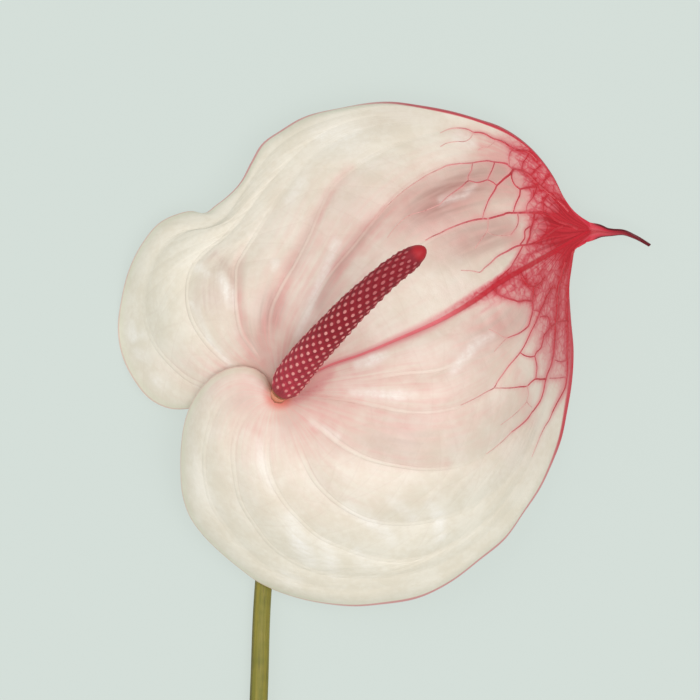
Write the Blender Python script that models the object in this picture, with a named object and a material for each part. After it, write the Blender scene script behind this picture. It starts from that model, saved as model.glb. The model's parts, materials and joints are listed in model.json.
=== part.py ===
# A cut anthurium stem lying on a table: a heart-shaped spathe with sunken veins and two lobes that
# overlap behind the stem, a spadix covered with florets, and the long stem that it was cut with.
# The tables are in millimetres from the point where the spathe sits on the stem, seen from above,
# with +X towards the spathe's tail and +Y away from the cut end. Z = 0 is the table.
import math

import bmesh
import bpy
import numpy as np
from mathutils import Vector

MM = 0.001

# Where the spathe sits on the stem, in the part's own frame
FLOWER_X = -27.8
FLOWER_Y = 111.6

# Spathe
SPATHE_THICK = 0.8
ROWS = 40  # cross rows from the stem to the tail
ROW_SPREAD = 1.08
BAND_STEPS = 5  # columns in the band between two main veins, where it is wide enough
COLUMN_GAP = 2.3  # between points of a row
LEAST_GAP = 0.8
PILLOW_HIGH = 1.2  # how far the flesh between two veins stands above them
PILLOW_WIDE = 13.0  # bands at least this wide get pillows of the full height
QUILT_SHARE = 0.4  # how much the pillows swell and sink along their length
QUILT_WAVES = 25
RIM_ROLL = 2.2  # how far the rim rolls back
RIM_SHARE = 0.12  # the share of the half spathe that rolls
ROLL_FREE = 8.0  # a rim lower than this rolls less
TAIL_FADE = 50  # stations before the tail over which the rim unrolls
RIM_LEAD = 0.2
LOBE_LIFT = 2.7  # half the distance between the overlapping lobes
LOBE_SPOT = (-15.0, 1.0)
LOBE_REACH = 22.0
CLASP_AT = (-0.9, -0.9)
CLASP_RX = 2.7
CLASP_RY = 3.0

# Tail: (x, y, z, width), from its root to its end
TAIL_PATH = [
    (83.2, 43.3, 9.8, 5.2), (85.9, 43.4, 9.5, 3.6), (87.6, 43.1, 9.2, 2.4), (89.6, 43.0, 8.9, 1.8),
    (92.0, 43.0, 8.5, 1.45), (95.5, 41.7, 7.8, 1.1), (99.4, 39.4, 7.2, 0.8),
]
TAIL_ROWS = 12
TAIL_COLUMNS = 5
TAIL_TURN = math.radians(70)
TAIL_GUTTER = 0.35

# Spadix: the profile is (distance along it, radius)
SPADIX_AXIS = [
    (-0.3, 0.0, 32.9), (6.6, 9.2, 41.6), (13.8, 17.0, 49.2), (18.6, 22.1, 54.0),
    (23.4, 26.7, 58.2), (28.5, 31.3, 62.4), (34.0, 35.4, 66.2), (38.0, 38.2, 68.4),
]
SPADIX_PROFILE = [
    (0.0, 2.6), (0.8, 3.3), (3.0, 3.95), (7.0, 4.25), (16.0, 4.25), (28.0, 4.0), (36.0, 3.8),
    (45.0, 3.5), (53.5, 3.2), (59.0, 2.95), (62.0, 2.65), (64.0, 2.05), (65.1, 1.3), (65.6, 0.5),
]
SPADIX_BASE = [(0.5, 2.9), (0.0, 2.45)]
SPADIX_TIP = [(62.6, 2.5), (64.2, 1.95), (65.2, 1.1)]
FLORET_AREA = 4.0
FLORET_RISE = 0.42
FLORET_INSET = 0.38
STIGMA_RISE = 0.22
LATTICE_FROM = 1.2
LATTICE_TO = 61.5
GOLDEN_ANGLE = math.radians(137.508)
SHORT_STEP = 8  # neighbouring florets are 8 and 13 places apart along the spiral
LONG_STEP = 13

# Stem: (x, y, z, radius), from the cut end to the spadix
STEM_PATH = [
    (-16.0, -300.0, 3.0, 3.0), (-14.2, -262.0, 2.95, 2.95), (-12.0, -215.0, 2.85, 2.85),
    (-9.6, -165.0, 2.75, 2.75), (-7.6, -115.0, 2.65, 2.6), (-6.2, -78.0, 2.58, 2.5),
    (-5.5, -58.0, 2.68, 2.4), (-4.4, -43.0, 4.3, 2.35), (-3.4, -31.0, 7.9, 2.3),
    (-2.6, -20.5, 12.8, 2.25), (-2.0, -12.0, 17.9, 2.2), (-1.4, -5.6, 22.9, 2.2),
    (-0.9, -0.9, 28.2, 2.2), (-0.85, -0.75, 30.5, 2.2), (-0.6, -0.4, 32.5, 2.3),
]
STEM_SIDES = 14
STEM_RINGS = 40
NECK_SPREAD = 1.6
NECK_LEAN = 60  # the higher, the later the rings lean towards the spadix
CUT_SLANT = 0.55

# Main veins and rims, in order round the stem: the angle at which each leaves it, and its course.
# A vein whose list ends early joins the bundle that runs inside the rim, up to the tail.
VEINS = [
    ("lower_rim", 142, [
        (-3.8, 3.8), (-6.5, 6.0), (-10.0, 7.0), (-14.0, 6.5), (-18.5, 4.3), (-22.0, 1.0), (-24.5, -3.0),
        (-26.2, -7.5), (-27.3, -14.3), (-27.5, -21.0), (-27.0, -27.8), (-25.0, -33.8), (-21.6, -38.6),
        (-16.7, -43.5), (-11.3, -48.0), (-7.3, -51.0), (-2.0, -53.7), (5.0, -56.0), (13.0, -57.5),
        (19.7, -58.0), (26.5, -57.5), (37.3, -55.6), (45.4, -51.6), (53.5, -45.5), (60.2, -40.0),
        (65.6, -32.5), (69.7, -26.5), (73.0, -19.7), (75.6, -13.0), (77.3, -5.0), (78.6, 3.0),
        (79.0, 11.3), (78.3, 19.4), (77.8, 27.5), (78.0, 34.3), (78.8, 37.6), (80.6, 39.9),
    ]),
    ("l", 177, [
        (-11.3, 0.5), (-16.2, -2.2), (-19.4, -9.0), (-21.0, -17.0), (-20.5, -25.0), (-19.0, -30.5),
        (-15.4, -36.0), (-10.0, -42.7), (-3.2, -48.0), (5.0, -51.6), (15.7, -53.5), (26.5, -53.0),
        (37.3, -50.8), (45.4, -48.0), (53.0, -42.4), (59.7, -36.5), (65.0, -29.7), (69.0, -22.4),
        (72.4, -15.0), (74.8, -6.2),
    ]),
    ("k", 202, [
        (-7.3, -3.5), (-10.8, -7.6), (-13.0, -14.3), (-12.7, -22.4), (-11.3, -29.2), (-7.3, -36.0),
        (-3.2, -41.3), (2.2, -45.4), (7.6, -48.0), (15.7, -49.7), (24.0, -50.0), (32.0, -49.4),
        (40.0, -47.3), (48.0, -43.5), (55.4, -38.0), (61.6, -31.6), (66.7, -23.8), (70.7, -15.7),
        (73.4, -6.2),
    ]),
    ("j", 240, [
        (-3.0, -6.2), (-3.5, -10.3), (-4.1, -15.7), (-3.2, -22.4), (0.3, -29.2), (5.0, -34.6),
        (10.3, -39.2), (17.0, -42.2), (24.0, -44.6), (32.0, -45.6), (40.0, -44.0), (48.0, -39.8),
        (55.6, -34.6), (61.8, -27.5), (66.7, -19.7), (70.5, -11.0), (72.8, -2.2),
    ]),
    ("i", 288, [
        (1.1, -6.2), (3.0, -10.3), (5.0, -15.7), (9.0, -24.0), (15.7, -30.5), (24.0, -34.6),
        (32.0, -35.6), (40.0, -34.8), (48.0, -32.4), (56.0, -27.8),
        (61.8, -22.4), (66.4, -15.7), (70.0, -7.6), (72.0, -0.8),
    ]),
    ("h", 319, [
        (5.0, -5.4), (10.3, -9.5), (15.7, -13.8), (22.4, -17.6), (32.0, -20.0), (40.0, -20.8),
        (46.7, -20.0), (53.5, -17.6), (59.0, -14.0), (63.5, -9.7), (68.3, -4.3), (70.0, 0.0),
        (71.3, 6.0), (72.0, 12.7), (72.6, 20.0), (73.4, 27.5), (75.4, 33.5), (77.9, 38.7),
    ]),
    ("g", 352, [
        (7.6, -0.8), (15.7, -1.4), (24.0, -3.2), (32.0, -5.0), (40.0, -5.4), (46.7, -4.3), (52.0, -2.0),
        (56.2, 0.8), (59.0, 4.3), (61.6, 8.0), (64.3, 11.3), (67.0, 16.2), (69.7, 22.0), (71.3, 27.5),
        (73.8, 33.5), (77.5, 39.1),
    ]),
    ("f", 369, [
        (7.6, 1.0), (13.0, 2.2), (24.0, 3.8), (32.0, 5.0), (42.7, 6.2), (48.0, 8.4), (53.5, 10.3),
        (59.0, 12.7), (62.6, 15.4), (65.6, 19.0), (67.2, 24.0), (68.5, 28.5), (71.8, 33.5), (77.1, 39.4),
    ]),
    ("midrib", 390, [
        (5.0, 3.2), (13.0, 7.3), (21.0, 10.0), (32.0, 14.6), (42.7, 19.4), (50.8, 24.0), (59.0, 29.7),
        (67.0, 34.3), (75.0, 38.8),
    ]),
    ("e", 408, [
        (8.0, 10.0), (17.0, 20.8), (27.8, 31.6), (38.3, 40.0), (45.4, 43.7), (54.8, 46.7), (64.3, 48.6),
        (71.0, 48.0), (76.0, 45.7),
    ]),
    ("d", 434, [
        (1.6, 8.6), (5.0, 18.0), (8.4, 24.0), (13.0, 31.6), (19.7, 39.7), (25.0, 46.4), (32.0, 54.0),
        (37.3, 58.0), (44.0, 60.8), (49.4, 61.8), (54.8, 62.4), (59.4, 61.8), (65.6, 59.0), (69.7, 55.0),
        (73.7, 51.4), (77.4, 47.2),
    ]),
    ("c", 458, [
        (-2.4, 8.6), (-3.2, 16.7), (-2.7, 22.0), (-0.5, 27.5), (3.5, 34.3), (7.6, 42.4), (10.3, 49.0),
        (14.3, 56.0), (19.0, 60.0), (32.0, 67.2), (40.0, 69.7), (46.7, 71.0), (54.8, 69.4), (61.0, 66.2),
        (65.6, 63.7), (69.7, 60.5), (73.0, 56.0), (76.0, 51.0),
    ]),
    ("b", 486, [
        (-4.1, 6.0), (-8.0, 12.0), (-10.5, 15.4), (-12.0, 20.8), (-12.4, 24.8), (-12.4, 29.4),
        (-12.0, 34.3), (-10.5, 37.0), (-8.0, 41.0), (-2.0, 50.5), (2.7, 57.2), (9.0, 64.0), (17.0, 69.0),
        (26.5, 72.0), (37.3, 73.0), (45.4, 72.5), (53.5, 70.7),
    ]),
    ("a", 502, [
        (-6.5, 4.9), (-14.0, 7.6), (-18.0, 10.8), (-22.0, 15.4), (-24.8, 20.8), (-25.7, 26.2),
        (-25.0, 31.6), (-23.5, 34.8), (-20.5, 38.0), (-15.4, 42.0), (-10.0, 48.3), (-5.4, 54.5),
        (0.0, 60.6), (6.0, 66.6), (13.0, 71.2), (21.0, 74.0), (32.0, 75.0), (43.0, 74.1), (53.5, 71.7),
    ]),
    ("a_outer", 530, [
        (-6.5, 2.2), (-16.2, 0.8), (-24.8, 3.2), (-30.2, 7.6), (-33.5, 11.3), (-36.2, 16.7),
        (-37.3, 23.5), (-36.5, 30.2), (-34.0, 36.2), (-30.2, 41.0), (-25.4, 43.7), (-21.0, 43.6),
        (-16.7, 45.9), (-12.4, 51.0), (-8.0, 57.8), (-3.2, 64.3), (3.2, 69.4), (11.8, 73.3),
        (21.6, 75.8), (32.0, 76.7), (43.0, 75.4), (53.5, 72.7),
    ]),
    ("upper_rim", 547, [
        (-6.0, -0.3), (-14.0, -2.2), (-25.4, -4.6), (-30.2, -4.6), (-35.6, -2.2), (-40.2, 3.2),
        (-43.5, 10.0), (-44.6, 16.7), (-43.7, 24.8), (-41.6, 33.0), (-38.0, 40.2), (-33.0, 46.0),
        (-28.0, 48.3), (-24.8, 49.0), (-20.8, 48.4), (-18.0, 50.5), (-16.2, 51.8), (-11.3, 56.7),
        (-8.6, 61.8), (-5.4, 67.2), (-0.5, 70.7), (5.0, 74.0), (15.7, 76.8), (29.2, 78.5), (37.3, 77.5),
        (45.4, 76.0), (53.5, 73.7), (59.0, 71.8), (64.3, 68.6), (69.7, 63.5), (73.7, 57.8), (76.5, 52.2),
        (79.0, 48.9), (80.8, 47.4),
    ]),
]
MIDRIB = 8  # its place in the list above
LAST = len(VEINS) - 1
LOWER_BUNDLE = (0, 5)  # the rim and the main vein that the lower bundle runs between
UPPER_BUNDLE = (LAST, 11)
JOIN_RUN = 24  # stations over which a vein swings into its bundle
BUNDLE_STEP = 12
BUNDLE_STOP = 5
STATIONS = 400  # along each course

# Heights of the spathe's face above the table: (x, y, z)
HEIGHTS = [
    (-0.9, -0.4, 28.2), (10.0, -7.0, 32.5), (-8.0, -9.0, 29.5), (-3.0, 13.0, 31.5), (9.0, 12.0, 33.0),
    (24.0, 4.0, 36.0), (40.0, 8.0, 36.5), (22.0, 24.0, 35.0), (8.0, 36.0, 31.5), (-14.0, 24.0, 27.5),
    (40.0, 32.0, 33.0), (56.0, 18.0, 31.0), (62.0, -2.0, 25.5), (44.0, -22.0, 30.5), (20.0, -30.0, 31.5),
    (-5.0, -30.0, 28.0), (-20.0, -14.0, 24.0), (-30.0, 18.0, 18.5), (-32.0, 34.0, 15.5), (-20.0, 40.0, 18.0),
    (0.0, 58.0, 20.0), (24.0, 64.0, 23.5), (50.0, 58.0, 22.5), (66.0, 46.0, 18.0), (70.0, 26.0, 19.0),
    (72.0, 10.0, 15.0), (83.2, 41.0, 9.6), (83.2, 45.6, 9.8),
    (-44.8, 14.0, -0.5), (-40.0, 2.0, 4.5), (-30.0, -5.0, 11.5), (-43.0, 30.0, 3.5), (-28.0, 48.5, 9.5),
    (-16.0, 52.0, 13.0), (-2.0, 70.5, 11.5), (29.0, 78.5, 14.0), (54.0, 73.7, 14.5), (72.0, 60.5, 11.5),
    (79.2, 8.0, -0.7), (78.2, 27.5, 5.0), (76.0, -13.0, 3.0), (65.6, -32.5, 8.5), (45.4, -51.6, 12.0),
    (19.7, -58.0, 12.0), (-7.3, -51.0, 10.0), (-21.6, -38.6, 11.5), (-27.5, -21.0, 15.5),
]


def distances(points):
    steps = np.linalg.norm(np.diff(points[:, :3], axis=0), axis=1)
    return np.concatenate(([0.0], np.cumsum(steps)))


# A smooth curve through the points, evenly spaced, or wider at its start where it leads
def smooth_path(points, count, lead=1.0):
    points = np.array(points, float)
    at = distances(points)
    slope = np.gradient(points, at, axis=0)
    fine = np.linspace(0.0, at[-1], 40 * len(points))
    i = np.clip(np.searchsorted(at, fine, side="right") - 1, 0, len(points) - 2)
    span = (at[i + 1] - at[i])[:, None]
    t = (fine - at[i])[:, None] / span
    curve = (
        (1 + 2 * t) * (1 - t) ** 2 * points[i]
        + t * (1 - t) ** 2 * span * slope[i]
        + t**2 * (3 - 2 * t) * points[i + 1]
        + t**2 * (t - 1) * span * slope[i + 1]
    )
    at = distances(curve)
    wanted = at[-1] * np.linspace(0.0, 1.0, count) ** lead
    return np.stack([np.interp(wanted, at, column) for column in curve.T], axis=1)


def bending(distance):
    return np.where(distance > 0, distance**2 * np.log(np.maximum(distance, 1e-9)), 0.0)


# The sheet that bends least through the heights, as a function of x and y
def height_field():
    known = np.array(HEIGHTS)
    count = len(known)
    flat = np.column_stack([np.ones(count), known[:, :2]])
    matrix = np.zeros((count + 3, count + 3))
    matrix[:count, :count] = bending(np.linalg.norm(known[:, None, :2] - known[None, :, :2], axis=2))
    matrix[:count, count:] = flat
    matrix[count:, :count] = flat.T
    weights = np.linalg.solve(matrix, np.concatenate([known[:, 2], np.zeros(3)]))

    def height(x, y):
        bent = bending(np.hypot(x - known[:, 0], y - known[:, 1])) @ weights[:count]
        return float(bent + weights[count:] @ (1.0, x, y))

    return height


# A point of the opening that clasps the stem
def clasp_point(angle):
    turn = math.radians(angle)
    return (CLASP_AT[0] + CLASP_RX * math.cos(turn), CLASP_AT[1] + CLASP_RY * math.sin(turn))


# Where the vein at that place in the list reaches the tail
def tail_root(place):
    x, y, _, wide = TAIL_PATH[0]
    return (x, y + wide * (place / LAST - 0.5))


# -1 at the lower rim, 0 at the midrib and 1 at the upper rim
def share_across(place):
    return (place - MIDRIB) / (MIDRIB if place < MIDRIB else LAST - MIDRIB)


# Every rim and main vein from the stem to the tail, with a point at each station
def vein_courses():
    courses = [None] * len(VEINS)
    # The outer courses are the longest, and lead so that the rows cross them squarely
    lead = [1 - RIM_LEAD * share_across(place) ** 2 for place in range(len(VEINS))]
    bundled = [*range(LOWER_BUNDLE[0] + 1, LOWER_BUNDLE[1]), *range(UPPER_BUNDLE[1] + 1, UPPER_BUNDLE[0])]
    for place in sorted(range(len(VEINS)), key=lambda place: place in bundled):
        _, angle, points = VEINS[place]
        whole = [clasp_point(angle)] + points
        if place in bundled:
            rim, inner = LOWER_BUNDLE if place < MIDRIB else UPPER_BUNDLE
            bundle = courses[rim] + (courses[inner] - courses[rim]) * (place - rim) / (inner - rim)
            joins = int(np.argmin(np.linalg.norm(bundle - points[-1], axis=1))) + JOIN_RUN
            whole += [tuple(point) for point in bundle[joins:-BUNDLE_STOP:BUNDLE_STEP]]
        courses[place] = smooth_path(whole + [tail_root(place)], STATIONS + 1, lead[place])
    return courses


# The point in plan at a place between two courses, and the width of the band there
def plan_point(courses, place, station):
    band = min(int(place), LAST - 1)
    near, far = courses[band][station], courses[band + 1][station]
    return near + (far - near) * (place - band), float(np.linalg.norm(far - near))


# The point of the spathe's face over a place in plan
def face_point(courses, height, place, station):
    (x, y), wide = plan_point(courses, place, station)
    share = place - int(place)
    quilt = 1 + QUILT_SHARE * math.sin(QUILT_WAVES * math.tau * station / STATIONS + 2.1 * int(place))
    pillow = min(wide / PILLOW_WIDE, 1.0) ** 1.3 * math.sin(math.pi * share) ** 0.8
    z = height(x, y) + PILLOW_HIGH * quilt * pillow

    across = share_across(place)
    roll = min(max((abs(across) - 1 + RIM_SHARE) / RIM_SHARE, 0.0), 1.0)
    short_of_tail = min(1.0, (STATIONS - station) / TAIL_FADE)
    z -= RIM_ROLL * short_of_tail * roll**3 * min(1.0, max(0.0, z) / ROLL_FREE)
    away = math.hypot(x - LOBE_SPOT[0], y - LOBE_SPOT[1]) / LOBE_REACH
    z -= LOBE_LIFT * math.exp(-(away**2)) * math.sin(math.pi / 2 * across)
    return Vector((x, y, z))


# The places of one row's points: every vein and rim, and more between them where a band is wide
def row_places(courses, station):
    places = [0.0]
    here = plan_point(courses, 0.0, station)[0]
    rim = plan_point(courses, LAST, station)[0]
    for step in range(1, LAST * BAND_STEPS):
        place = step / BAND_STEPS
        spot = plan_point(courses, place, station)[0]
        next_vein = plan_point(courses, math.ceil(place), station)[0]
        on_vein = step % BAND_STEPS == 0
        clear = on_vein or np.linalg.norm(spot - next_vein) > LEAST_GAP
        clear = clear and np.linalg.norm(spot - rim) > LEAST_GAP
        if clear and np.linalg.norm(spot - here) > (LEAST_GAP if on_vein else COLUMN_GAP):
            places.append(place)
            here = spot
    return places + [float(LAST)]


def spathe_rows():
    courses = vein_courses()
    height = height_field()
    rows = []
    for n in range(ROWS):
        station = round(STATIONS * (n / (ROWS - 1)) ** ROW_SPREAD)
        places = row_places(courses, station)
        rows.append([(place, face_point(courses, height, place, station)) for place in places])
    return rows


# The tail is a narrow gutter that turns about its own length
def tail_rows():
    path = smooth_path(TAIL_PATH, TAIL_ROWS + 1)
    rows = []
    for n in range(1, TAIL_ROWS + 1):
        share = n / TAIL_ROWS
        wide = path[n][3]
        along = Vector((path[n] - path[n - 1])[:3]).normalized()
        flat = Vector((0, 0, 1)).cross(along).normalized()
        across = flat * math.cos(TAIL_TURN * share) + along.cross(flat) * math.sin(TAIL_TURN * share)
        face = along.cross(across)
        row = []
        for k in range(TAIL_COLUMNS):
            side = k / (TAIL_COLUMNS - 1) - 0.5
            dip = TAIL_GUTTER * share * wide * (1 - 4 * side * side)
            point = Vector(path[n][:3]) + across * wide * side - face * dip
            row.append(((side + 0.5) * LAST, point))
        rows.append(row)
    return rows


# Triangles between two rows of (place, vertex), with an edge wherever their places agree
def stitch(bm, row, next_row):
    i = j = 0
    while i < len(row) - 1 or j < len(next_row) - 1:
        done = j == len(next_row) - 1
        if done or (i < len(row) - 1 and row[i + 1][0] <= next_row[j + 1][0]):
            bm.faces.new((row[i][1], next_row[j][1], row[i + 1][1]))
            i += 1
        else:
            bm.faces.new((row[i][1], next_row[j][1], next_row[j + 1][1]))
            j += 1


# Adds the back of a sheet, split into triangles like its face, and joins them round the rim
def thicken(bm, thick):
    bm.normal_update()
    sheet = bm.faces[:]
    rim = [edge for edge in bm.edges if edge.is_boundary]
    back = {vert: bm.verts.new(vert.co - vert.normal * thick) for vert in bm.verts[:]}
    for face in sheet:
        bm.faces.new([back[vert] for vert in reversed(face.verts)])
    for edge in rim:
        a, b = edge.verts
        bm.faces.new((a, b, back[b], back[a]))
    bmesh.ops.recalc_face_normals(bm, faces=bm.faces[:])


def build_spathe(bm):
    made = [[(place, bm.verts.new(point)) for place, point in row] for row in spathe_rows() + tail_rows()]
    for row, next_row in zip(made, made[1:]):
        stitch(bm, row, next_row)
    bmesh.ops.recalc_face_normals(bm, faces=bm.faces[:])
    if sum(face.normal.z for face in bm.faces) < 0:
        bmesh.ops.reverse_faces(bm, faces=bm.faces[:])
    thicken(bm, SPATHE_THICK)
    # The two low places of the rim lie flat on the table
    for vert in bm.verts:
        vert.co.z = max(vert.co.z, 0.0)


# A point round the spadix, as a function of the distance along its axis, the angle and the radius
def spadix_places():
    axis = smooth_path(SPADIX_AXIS, STATIONS)
    at = distances(axis)

    def place(distance, angle, radius):
        i = int(np.clip(np.searchsorted(at, distance), 1, len(axis) - 1))
        along = Vector(axis[i] - axis[i - 1]).normalized()
        here = Vector([float(np.interp(distance, at, column)) for column in axis.T])
        here += along * max(0.0, distance - at[-1])
        side = along.cross(Vector((0, 0, 1))).normalized()
        return here + (side * math.cos(angle) + side.cross(along) * math.sin(angle)) * radius

    return place


def spadix_radius(distance):
    profile = smooth_path(SPADIX_PROFILE, STATIONS)
    return float(np.interp(distance, profile[:, 0], profile[:, 1]))


def build_spadix(bm):
    place = spadix_places()
    # The grooves between the florets cross at the points of one spiral
    spiral = []
    distance = LATTICE_FROM
    while distance < LATTICE_TO:
        spiral.append((distance, GOLDEN_ANGLE * len(spiral)))
        distance += FLORET_AREA / (math.tau * spadix_radius(distance))
    crossings = [bm.verts.new(place(at, angle, spadix_radius(at))) for at, angle in spiral]
    florets = []
    around = SHORT_STEP + LONG_STEP
    for k in range(len(crossings) - around):
        corners = (k, k + LONG_STEP, k + around, k + SHORT_STEP)
        florets.append(bm.faces.new([crossings[corner] for corner in corners]))
    close_end(bm, crossings[:around], spiral[:around], SPADIX_BASE, place)
    close_end(bm, crossings[-around:], spiral[-around:], SPADIX_TIP, place)
    bmesh.ops.recalc_face_normals(bm, faces=bm.faces[:])

    bmesh.ops.inset_individual(bm, faces=florets, thickness=FLORET_INSET, depth=FLORET_RISE)
    bmesh.ops.poke(bm, faces=florets, offset=STIGMA_RISE)


# Closes one end of the spadix with rings at the angles of its last florets
def close_end(bm, verts, spiral, rings, place):
    count = len(verts)
    order = [0]
    while len(order) < count:
        here = order[-1]
        order.append(here + SHORT_STEP if here + SHORT_STEP < count else here - LONG_STEP)
    loop = [verts[n] for n in order]
    for distance, radius in rings:
        ring = [bm.verts.new(place(distance, spiral[n][1], radius)) for n in order]
        bridge(bm, loop, ring)
        loop = ring
    bm.faces.new(loop)


def bridge(bm, loop, ring):
    for n in range(len(loop)):
        after = (n + 1) % len(loop)
        bm.faces.new((loop[n], loop[after], ring[after], ring[n]))


def build_stem(bm):
    fine = smooth_path(STEM_PATH, STATIONS + 1)
    spadix_way = (Vector(SPADIX_AXIS[1]) - Vector(SPADIX_AXIS[0])).normalized()
    side = Vector((1, 0, 0))
    rings = []
    for n in range(STEM_RINGS):
        # The rings lie closer towards the neck, and the last one faces the spadix
        spot = round(STATIONS * (1 - (1 - n / (STEM_RINGS - 1)) ** NECK_SPREAD))
        x, y, z, radius = fine[spot]
        along = Vector((fine[min(spot + 2, STATIONS)] - fine[max(spot - 2, 0)])[:3]).normalized()
        along = along.lerp(spadix_way, (spot / STATIONS) ** NECK_LEAN).normalized()
        side = (side - along * side.dot(along)).normalized()
        up = side.cross(along)
        # The cut end was sliced at a slant
        slant = CUT_SLANT if n == 0 else 0.0
        ring = []
        for k in range(STEM_SIDES):
            turn = math.tau * (k + 0.5) / STEM_SIDES
            out = side * math.cos(turn) + (up + along * slant) * math.sin(turn)
            ring.append(bm.verts.new(Vector((x, y, z)) + out * radius))
        rings.append(ring)
    for ring, next_ring in zip(rings, rings[1:]):
        bridge(bm, ring, next_ring)
    bm.faces.new(rings[0])
    bm.faces.new(rings[-1])
    bmesh.ops.recalc_face_normals(bm, faces=bm.faces[:])


def material(name, color, roughness):
    made = bpy.data.materials.new(name)
    made.use_nodes = True
    shader = made.node_tree.nodes["Principled BSDF"]
    shader.inputs["Base Color"].default_value = (*color, 1.0)
    shader.inputs["Roughness"].default_value = roughness
    shader.inputs["Metallic"].default_value = 0.0
    return made


def add_object(name, build, look, parent):
    bm = bmesh.new()
    build(bm)
    bmesh.ops.scale(bm, vec=(MM, MM, MM), verts=bm.verts[:])
    mesh = bpy.data.meshes.new(name)
    bm.to_mesh(mesh)
    bm.free()
    mesh.materials.append(look)
    mesh.shade_smooth()
    mesh.set_sharp_from_angle(angle=math.radians(50))
    made = bpy.data.objects.new(name, mesh)
    made.parent = parent
    bpy.context.collection.objects.link(made)


def main():
    for old in list(bpy.data.objects):
        bpy.data.objects.remove(old)
    flower = bpy.data.objects.new("flower", None)
    flower.location = (FLOWER_X * MM, FLOWER_Y * MM, 0.0)
    bpy.context.collection.objects.link(flower)
    add_object("spathe", build_spathe, material("spathe", (0.80, 0.64, 0.56), 0.38), flower)
    add_object("spadix", build_spadix, material("spadix", (0.34, 0.035, 0.05), 0.45), flower)
    add_object("stem", build_stem, material("stem", (0.27, 0.23, 0.06), 0.45), flower)


main()
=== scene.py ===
# A cut anthurium lying on a pale table, seen from above: the heart-shaped spathe with its veins, red
# net and tail, the spadix with its florets, and the long ribbed stem with its cut end.
import json
import math

import bmesh
import bpy
import numpy as np
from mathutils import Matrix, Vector, noise
from mathutils.kdtree import KDTree

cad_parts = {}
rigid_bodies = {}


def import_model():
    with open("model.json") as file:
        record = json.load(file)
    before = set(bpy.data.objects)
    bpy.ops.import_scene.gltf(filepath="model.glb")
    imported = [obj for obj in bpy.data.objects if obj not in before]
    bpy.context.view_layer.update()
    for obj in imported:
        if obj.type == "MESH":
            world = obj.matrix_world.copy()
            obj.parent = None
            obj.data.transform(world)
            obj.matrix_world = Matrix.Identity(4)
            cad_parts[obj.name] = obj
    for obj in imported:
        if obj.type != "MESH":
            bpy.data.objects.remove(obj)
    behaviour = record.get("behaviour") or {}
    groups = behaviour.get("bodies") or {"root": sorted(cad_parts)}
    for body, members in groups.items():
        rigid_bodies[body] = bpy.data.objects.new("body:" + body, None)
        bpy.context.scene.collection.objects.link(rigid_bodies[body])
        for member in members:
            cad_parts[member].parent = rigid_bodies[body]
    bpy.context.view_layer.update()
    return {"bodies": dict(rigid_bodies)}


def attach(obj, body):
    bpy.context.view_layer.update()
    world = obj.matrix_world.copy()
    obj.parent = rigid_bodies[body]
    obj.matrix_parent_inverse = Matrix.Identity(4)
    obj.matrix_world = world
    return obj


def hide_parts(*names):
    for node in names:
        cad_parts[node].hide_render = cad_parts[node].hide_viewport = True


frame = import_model()
body = next(iter(frame["bodies"]))

# Every table and length below is in millimetres from the point where the spathe sits on the stem
mm = 0.001
flowerAt = (-27.8, 111.6)
mergeWithin = 0.004
smoothUpTo = math.radians(60)
stations = 400  # along each vein, the stem and the spadix
fineSteps = 40  # from each point of a course to the next, before it is spaced out evenly


def distances(points):
    steps = np.linalg.norm(np.diff(points[:, :3], axis=0), axis=1)
    return np.concatenate(([0.0], np.cumsum(steps)))


# A smooth curve through the points, evenly spaced, or wider at its start where it leads
def smoothPath(points, count, lead=1.0):
    points = np.array(points, float)
    at = distances(points)
    slope = np.gradient(points, at, axis=0)
    fine = np.linspace(0.0, at[-1], fineSteps * len(points))
    i = np.clip(np.searchsorted(at, fine, side="right") - 1, 0, len(points) - 2)
    span = (at[i + 1] - at[i])[:, None]
    t = (fine - at[i])[:, None] / span
    curve = (
        (1 + 2 * t) * (1 - t) ** 2 * points[i]
        + t * (1 - t) ** 2 * span * slope[i]
        + t**2 * (3 - 2 * t) * points[i + 1]
        + t**2 * (t - 1) * span * slope[i + 1]
    )
    at = distances(curve)
    wanted = at[-1] * np.linspace(0.0, 1.0, count) ** lead
    return np.stack([np.interp(wanted, at, column) for column in curve.T], axis=1)


# 0 below the first value, 1 past the second, and smooth between them
def fade(value, start, end):
    t = np.clip((value - start) / (end - start), 0.0, 1.0)
    return t * t * (3 - 2 * t)


def ramp(value, first, last, start, end):
    return first + (last - first) * fade(value, start, end)


# How near each point lies to a drawn line of (x, y, half width, strength): a soft brush stroke
def stroke(x, y, points, sharpness=2.0):
    best = np.zeros_like(x)
    for (ax, ay, aw, ap), (bx, by, bw, bp) in zip(points, points[1:]):
        length = (bx - ax) ** 2 + (by - ay) ** 2
        t = np.clip(((x - ax) * (bx - ax) + (y - ay) * (by - ay)) / length, 0.0, 1.0)
        gap = np.hypot(x - ax - (bx - ax) * t, y - ay - (by - ay) * t)
        wide = aw + (bw - aw) * t
        best = np.maximum(best, (ap + (bp - ap) * t) * np.exp(-((gap / wide) ** sharpness)))
    return best


# The strongest of the strokes at each point, or what was there before where that is stronger
def strokes(x, y, before, lines, sharpness=2.0):
    for line in lines:
        before = np.maximum(before, stroke(x, y, line, sharpness))
    return before


# A soft oval patch: (x, y, half length, half width, turn in degrees, strength)
def patch(x, y, spot):
    cx, cy, long, wide, turn, strength = spot
    c, s = math.cos(math.radians(turn)), math.sin(math.radians(turn))
    along = ((x - cx) * c + (y - cy) * s) / long
    across = ((y - cy) * c - (x - cx) * s) / wide
    return strength * np.exp(-(along**2) - across**2)


def patches(x, y, spots):
    return sum(patch(x, y, spot) for spot in spots)


# Selects only the given objects, with the last one active
def pick(*objects):
    bpy.ops.object.select_all(action="DESELECT")
    for each in objects:
        each.select_set(True)
        bpy.context.view_layer.objects.active = each


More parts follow.
